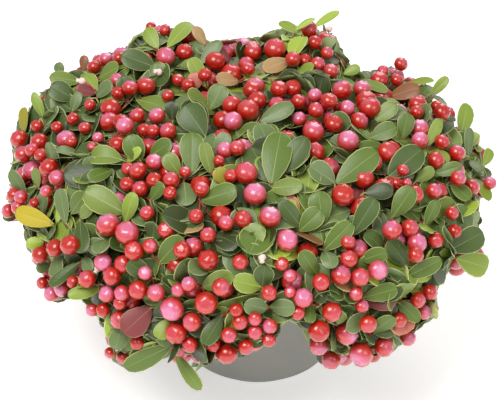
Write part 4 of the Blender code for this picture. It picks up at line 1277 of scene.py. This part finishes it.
def shaded_leaves(room, curves):
    """Old leaves round the ends of the shoots and further down them, under the outer leaves, in dark tints
    that are partly their age and partly painted shade.
    """
    rng = np.random.default_rng(43)
    leaves = []
    for number, (shoots, _) in enumerate(curves):
        for strand, place in product(shoots[1:], SHADED_PLACES):
            joint = bezier(np.array([strand[:3]]), np.array([place]))[0, 0]
            near = room.about(joint)
            up = crown_normals(joint[None])[0]
            start = rng.uniform(0, math.tau)
            for i in range(SHADED_LEAVES):
                shape = leaf_shape(rng, rng.uniform(*SHADED_SIZES))
                angle = start + i * GOLDEN_ANGLE
                leaf = first_fit(room, near, shape, joint, up, angle, rng.normal(0, 0.3), SHADED_LIFTS, 0)
                # Dark tints: partly the leaves' age, partly painted shade under the outer leaves
                colour = rng.choice(("old", "dark", "grey"), p=(0.4, 0.4, 0.2))
                if leaf:
                    leaf.update(mass=number, colour=colour)
                    leaves.append(leaf)
    return leaves


def place_leaves(ends, normals, arrive, mass_of, fruit, curves):
    """Marked leaves, a whorl round each twig's end and older ones behind it, each where it first fits."""
    rng = np.random.default_rng(41)
    room = Room(fruit, rng)
    names = list(LEAF_TINTS)
    youngest, autumn = names.index("young"), names.index("bronze")
    leaves = []
    for mark, foot, tip in zip(LEAF_MARKS, leaf_feet, leaf_tips):
        away = np.linalg.norm(ends - foot, axis=1)
        if away.min() > MARK_STALK:
            continue
        leaf = marked_leaf(rng, mark, foot, tip)
        leaf.update(mass=mass_of[away.argmin()], joint=ends[away.argmin()])
        points = blade(*room.spots, 0, leaf)
        for _ in range(MARK_TRIMS):
            if in_box(points, BOX_INSET).all():
                break
            leaf["length"], leaf["width"] = 0.94 * leaf["length"], 0.96 * leaf["width"]
            points = blade(*room.spots, 0, leaf)
        room.taken = np.concatenate([room.taken, blade(*room.close_spots, 0, leaf)])
        room.keep_open(points, LEAF_SIGHT)
        leaves.append(leaf)
    for k in rng.permutation(len(ends)):
        young = rng.random() < YOUNG_SHARE
        up = unit_of(normals[k] + np.array([0, 0, 0.45]))
        near = room.about(ends[k])
        start = rng.uniform(0, math.tau)
        vigour = rng.uniform(0.85, 1.1)
        rise = YOUNG_RISE if young else rng.uniform(*LEAF_RISE)
        tone = youngest if young else rng.choice(len(GREEN_SHARES), p=GREEN_SHARES)
        count = rng.integers(3, 6)
        for i in range(count + OLDER_LEAVES):
            inner = i >= count
            fresh = young and not inner
            shape = leaf_shape(rng, vigour * (1.0 if i < 4 else 0.85), fresh)
            lifts = YOUNG_LIFTS if fresh else (*rng.permutation(LEAF_LIFTS[:4]), *LEAF_LIFTS[4:])
            joint = ends[k] - arrive[k] * (JOINT_STEP * i + (OLDER_STEP * (i - count + 1) if inner else 0))
            lean_aside = rng.normal(0, LEAN_ASIDE)
            angle = start + i * GOLDEN_ANGLE
            leaf = first_fit(room, near, shape, joint, up, angle, lean_aside, lifts, rise)
            if not leaf:
                continue
            # Inner leaves take tints two steps darker: partly their age, partly painted shade
            step = rng.integers(-1, 2) - (2 if inner else 0)
            colour = names[min(max(tone + step, 0), youngest)]
            if rng.random() < TINTED_SHARE:
                colour = names[rng.integers(autumn, len(names))]
            leaf.update(mass=mass_of[k], colour=colour)
            leaves.append(leaf)
    return leaves + shaded_leaves(room, curves)


def gathered(leaves, key):
    """One property of many leaves as an array that spreads over the grid of each leaf."""
    values = np.array([leaf[key] for leaf in leaves])
    return values[:, None, None] if values.ndim == 1 else values[:, None, None, :]


def leaf_grid():
    """Where a leaf's points lie: u by row, and v and sink round the ring, rim to rim and back under it.

    The rim and the midrib keep their width in millimetres, the midrib tapering to the tip, so their v is
    that width over the half width of a middling leaf.
    """
    turn = (np.arange(LEAF_ROWS) + 1) / (LEAF_ROWS + 1)
    u = (1 - np.cos(np.pi * turn)) / 2 * 0.985 + 0.008
    half = MIDDLING_HALF_WIDTH * u**0.8 * (1 - u) ** 0.48 / 0.43
    rib = np.clip(RIB_WIDTH * (1.3 - u) / half, 0.01, 0.4)
    rim = np.clip(1 - RIM_WIDTH / half, 0.75, 0.97)
    one = np.ones_like(u)
    v = np.stack([one, rim, rib, -rib, -rim, -one, 0 * one], axis=1)
    return u[None, :, None], v[None], np.array([0.5, 0, 0, 0, 0, 0.5, 1])[None, None]


def make_leaves(limbs, leaves):
    """One piece for each mass. Each tint has three materials: upper side, underside, and rim and midrib."""
    finishes, first_slot = [], {}
    satin = {"Specular_IOR_Level": 0.45}
    rough = {"grain": 0.0016, "relief": 0.00012, **satin}
    for name, (top, under, pale) in LEAF_TINTS.items():
        first_slot[name] = len(finishes)
        finishes.append(finish_of(f"leaf_upper_{name}", top, 0.4, **rough))
        finishes.append(finish_of(f"leaf_under_{name}", under, 0.6, **rough))
        finishes.append(finish_of(f"leaf_rib_{name}", pale, 0.5, **satin))
    u, v, sink = leaf_grid()
    parts = np.array([2, 0, 1, 0, 2, 1, 1])[None, None]
    shape = ("length", "width", "bend", "foot", "head", "fold", "cup", "twist", "wave")
    for number, limb in enumerate(limbs):
        mine = [leaf for leaf in leaves if leaf["mass"] == number]
        grid = {key: gathered(mine, key) for key in (*shape, "root", "along", "up")}
        rings = blade(u, v, sink, grid)
        tip = blade(np.ones((1, 1, 1)), np.zeros((1, 1, 1)), 0.5, grid)[:, 0, 0]
        root = grid["root"][:, 0, 0]
        colours = np.array([first_slot[leaf["colour"]] for leaf in mine])[:, None, None]
        slots = np.broadcast_to(colours + parts, (len(mine), LEAF_ROWS + 1, 7))
        piece = shells(f"leaves_{limb.name}", rings, root, tip, slots, finishes)
        dress(piece, "foliage", f"foliage_{limb.name}")


def make_leaf_stalks(limbs, leaves):
    """Short leaf stalks, red to yellowish green, from the twig to the foot of each blade."""
    red = finish_of("red_leaf_stalk", "a04a3c", 0.5, grain=0.0008, relief=0.0001)
    green = finish_of("green_leaf_stalk", "a3a95e", 0.5, grain=0.0008, relief=0.0001)
    for number, limb in enumerate(limbs):
        mine = [leaf for leaf in leaves if leaf["mass"] == number]
        joint = np.array([leaf["joint"] for leaf in mine])
        root = np.array([leaf["root"] + leaf["along"] * LEAF_STALK_LAP for leaf in mine])
        bend = (joint + root) / 2 - np.array([leaf["up"] * LEAF_STALK_SAG for leaf in mine])
        paths = bezier(np.stack([joint, bend, root], axis=1), np.linspace(0, 1, 3))
        slots = (np.arange(len(mine)) % 2)[:, None, None]
        stalks = tubes(f"leaf_stalks_{limb.name}", paths, STALK_RADIUS, 4, slots, [red, green])
        dress(stalks, "woody_stem")


leaves = place_leaves(ends, normals, arrive, mass_of, fruit, curves)
make_leaves(limbs, leaves)
make_leaf_stalks(limbs, leaves)


# Studio
# A white floor that also glows, a large soft box over the front left, two weak ones at the right and behind,
# and weak light from all sides. The camera stands where the photograph was taken from: in front of the plant
# and a third of a right angle above it.

FLOOR_REACH = 6.0
LIGHT_AIM = (0, 0, 0.12)
SENSOR_WIDTH = 36
PICTURE_WIDTH = 500


def make_floor():
    """A square of floor far wider than the view."""
    paint = finish_of("back_lit_white_floor", "fafaf8", 0.9, Emission_Strength=0.46)
    paint.node_tree.nodes["Principled BSDF"].inputs["Emission Color"].default_value = (1, 1, 1, 1)
    mesh = bpy.data.meshes.new("floor")
    corners = [(x * FLOOR_REACH, y * FLOOR_REACH, 0) for x, y in ((-1, -1), (1, -1), (1, 1), (-1, 1))]
    mesh.from_pydata(corners, [], [(0, 1, 2, 3)])
    mesh.materials.append(paint)
    floor = bpy.data.objects.new("floor", mesh)
    bpy.context.scene.collection.objects.link(floor)


def make_light(name, place, width, power):
    """A square soft box that faces the middle of the plant."""
    lamp = bpy.data.lights.new(name, "AREA")
    lamp.size, lamp.energy = width, power
    light = bpy.data.objects.new(name, lamp)
    light.location = place
    way = Vector(LIGHT_AIM) - light.location
    light.rotation_euler = way.to_track_quat("-Z", "Y").to_euler()
    bpy.context.scene.collection.objects.link(light)


def make_camera():
    """The camera looks along +Y and down at the middle of the plant."""
    camera = bpy.data.objects.new("camera", bpy.data.cameras.new("camera"))
    camera.data.lens = VIEW_FOCAL / PICTURE_WIDTH * SENSOR_WIDTH
    camera.location = VIEW_EYE
    camera.rotation_euler = Vector(-VIEW_BACK).to_track_quat("-Z", "Y").to_euler()
    bpy.context.scene.collection.objects.link(camera)
    bpy.context.scene.camera = camera


make_floor()
make_light("key_softbox", (-0.5, -0.8, 1.5), 0.9, 24)
make_light("fill_softbox", (0.9, -0.9, 0.9), 0.8, 5)
make_light("back_softbox", (0.4, 1.2, 1.1), 0.8, 7)
world = bpy.data.worlds.new("studio")
world.use_nodes = True
world.node_tree.nodes["Background"].inputs["Color"].default_value = (1, 1, 1, 1)
world.node_tree.nodes["Background"].inputs["Strength"].default_value = 0.40
bpy.context.scene.world = world
bpy.context.scene.view_settings.view_transform = "Standard"
make_camera()
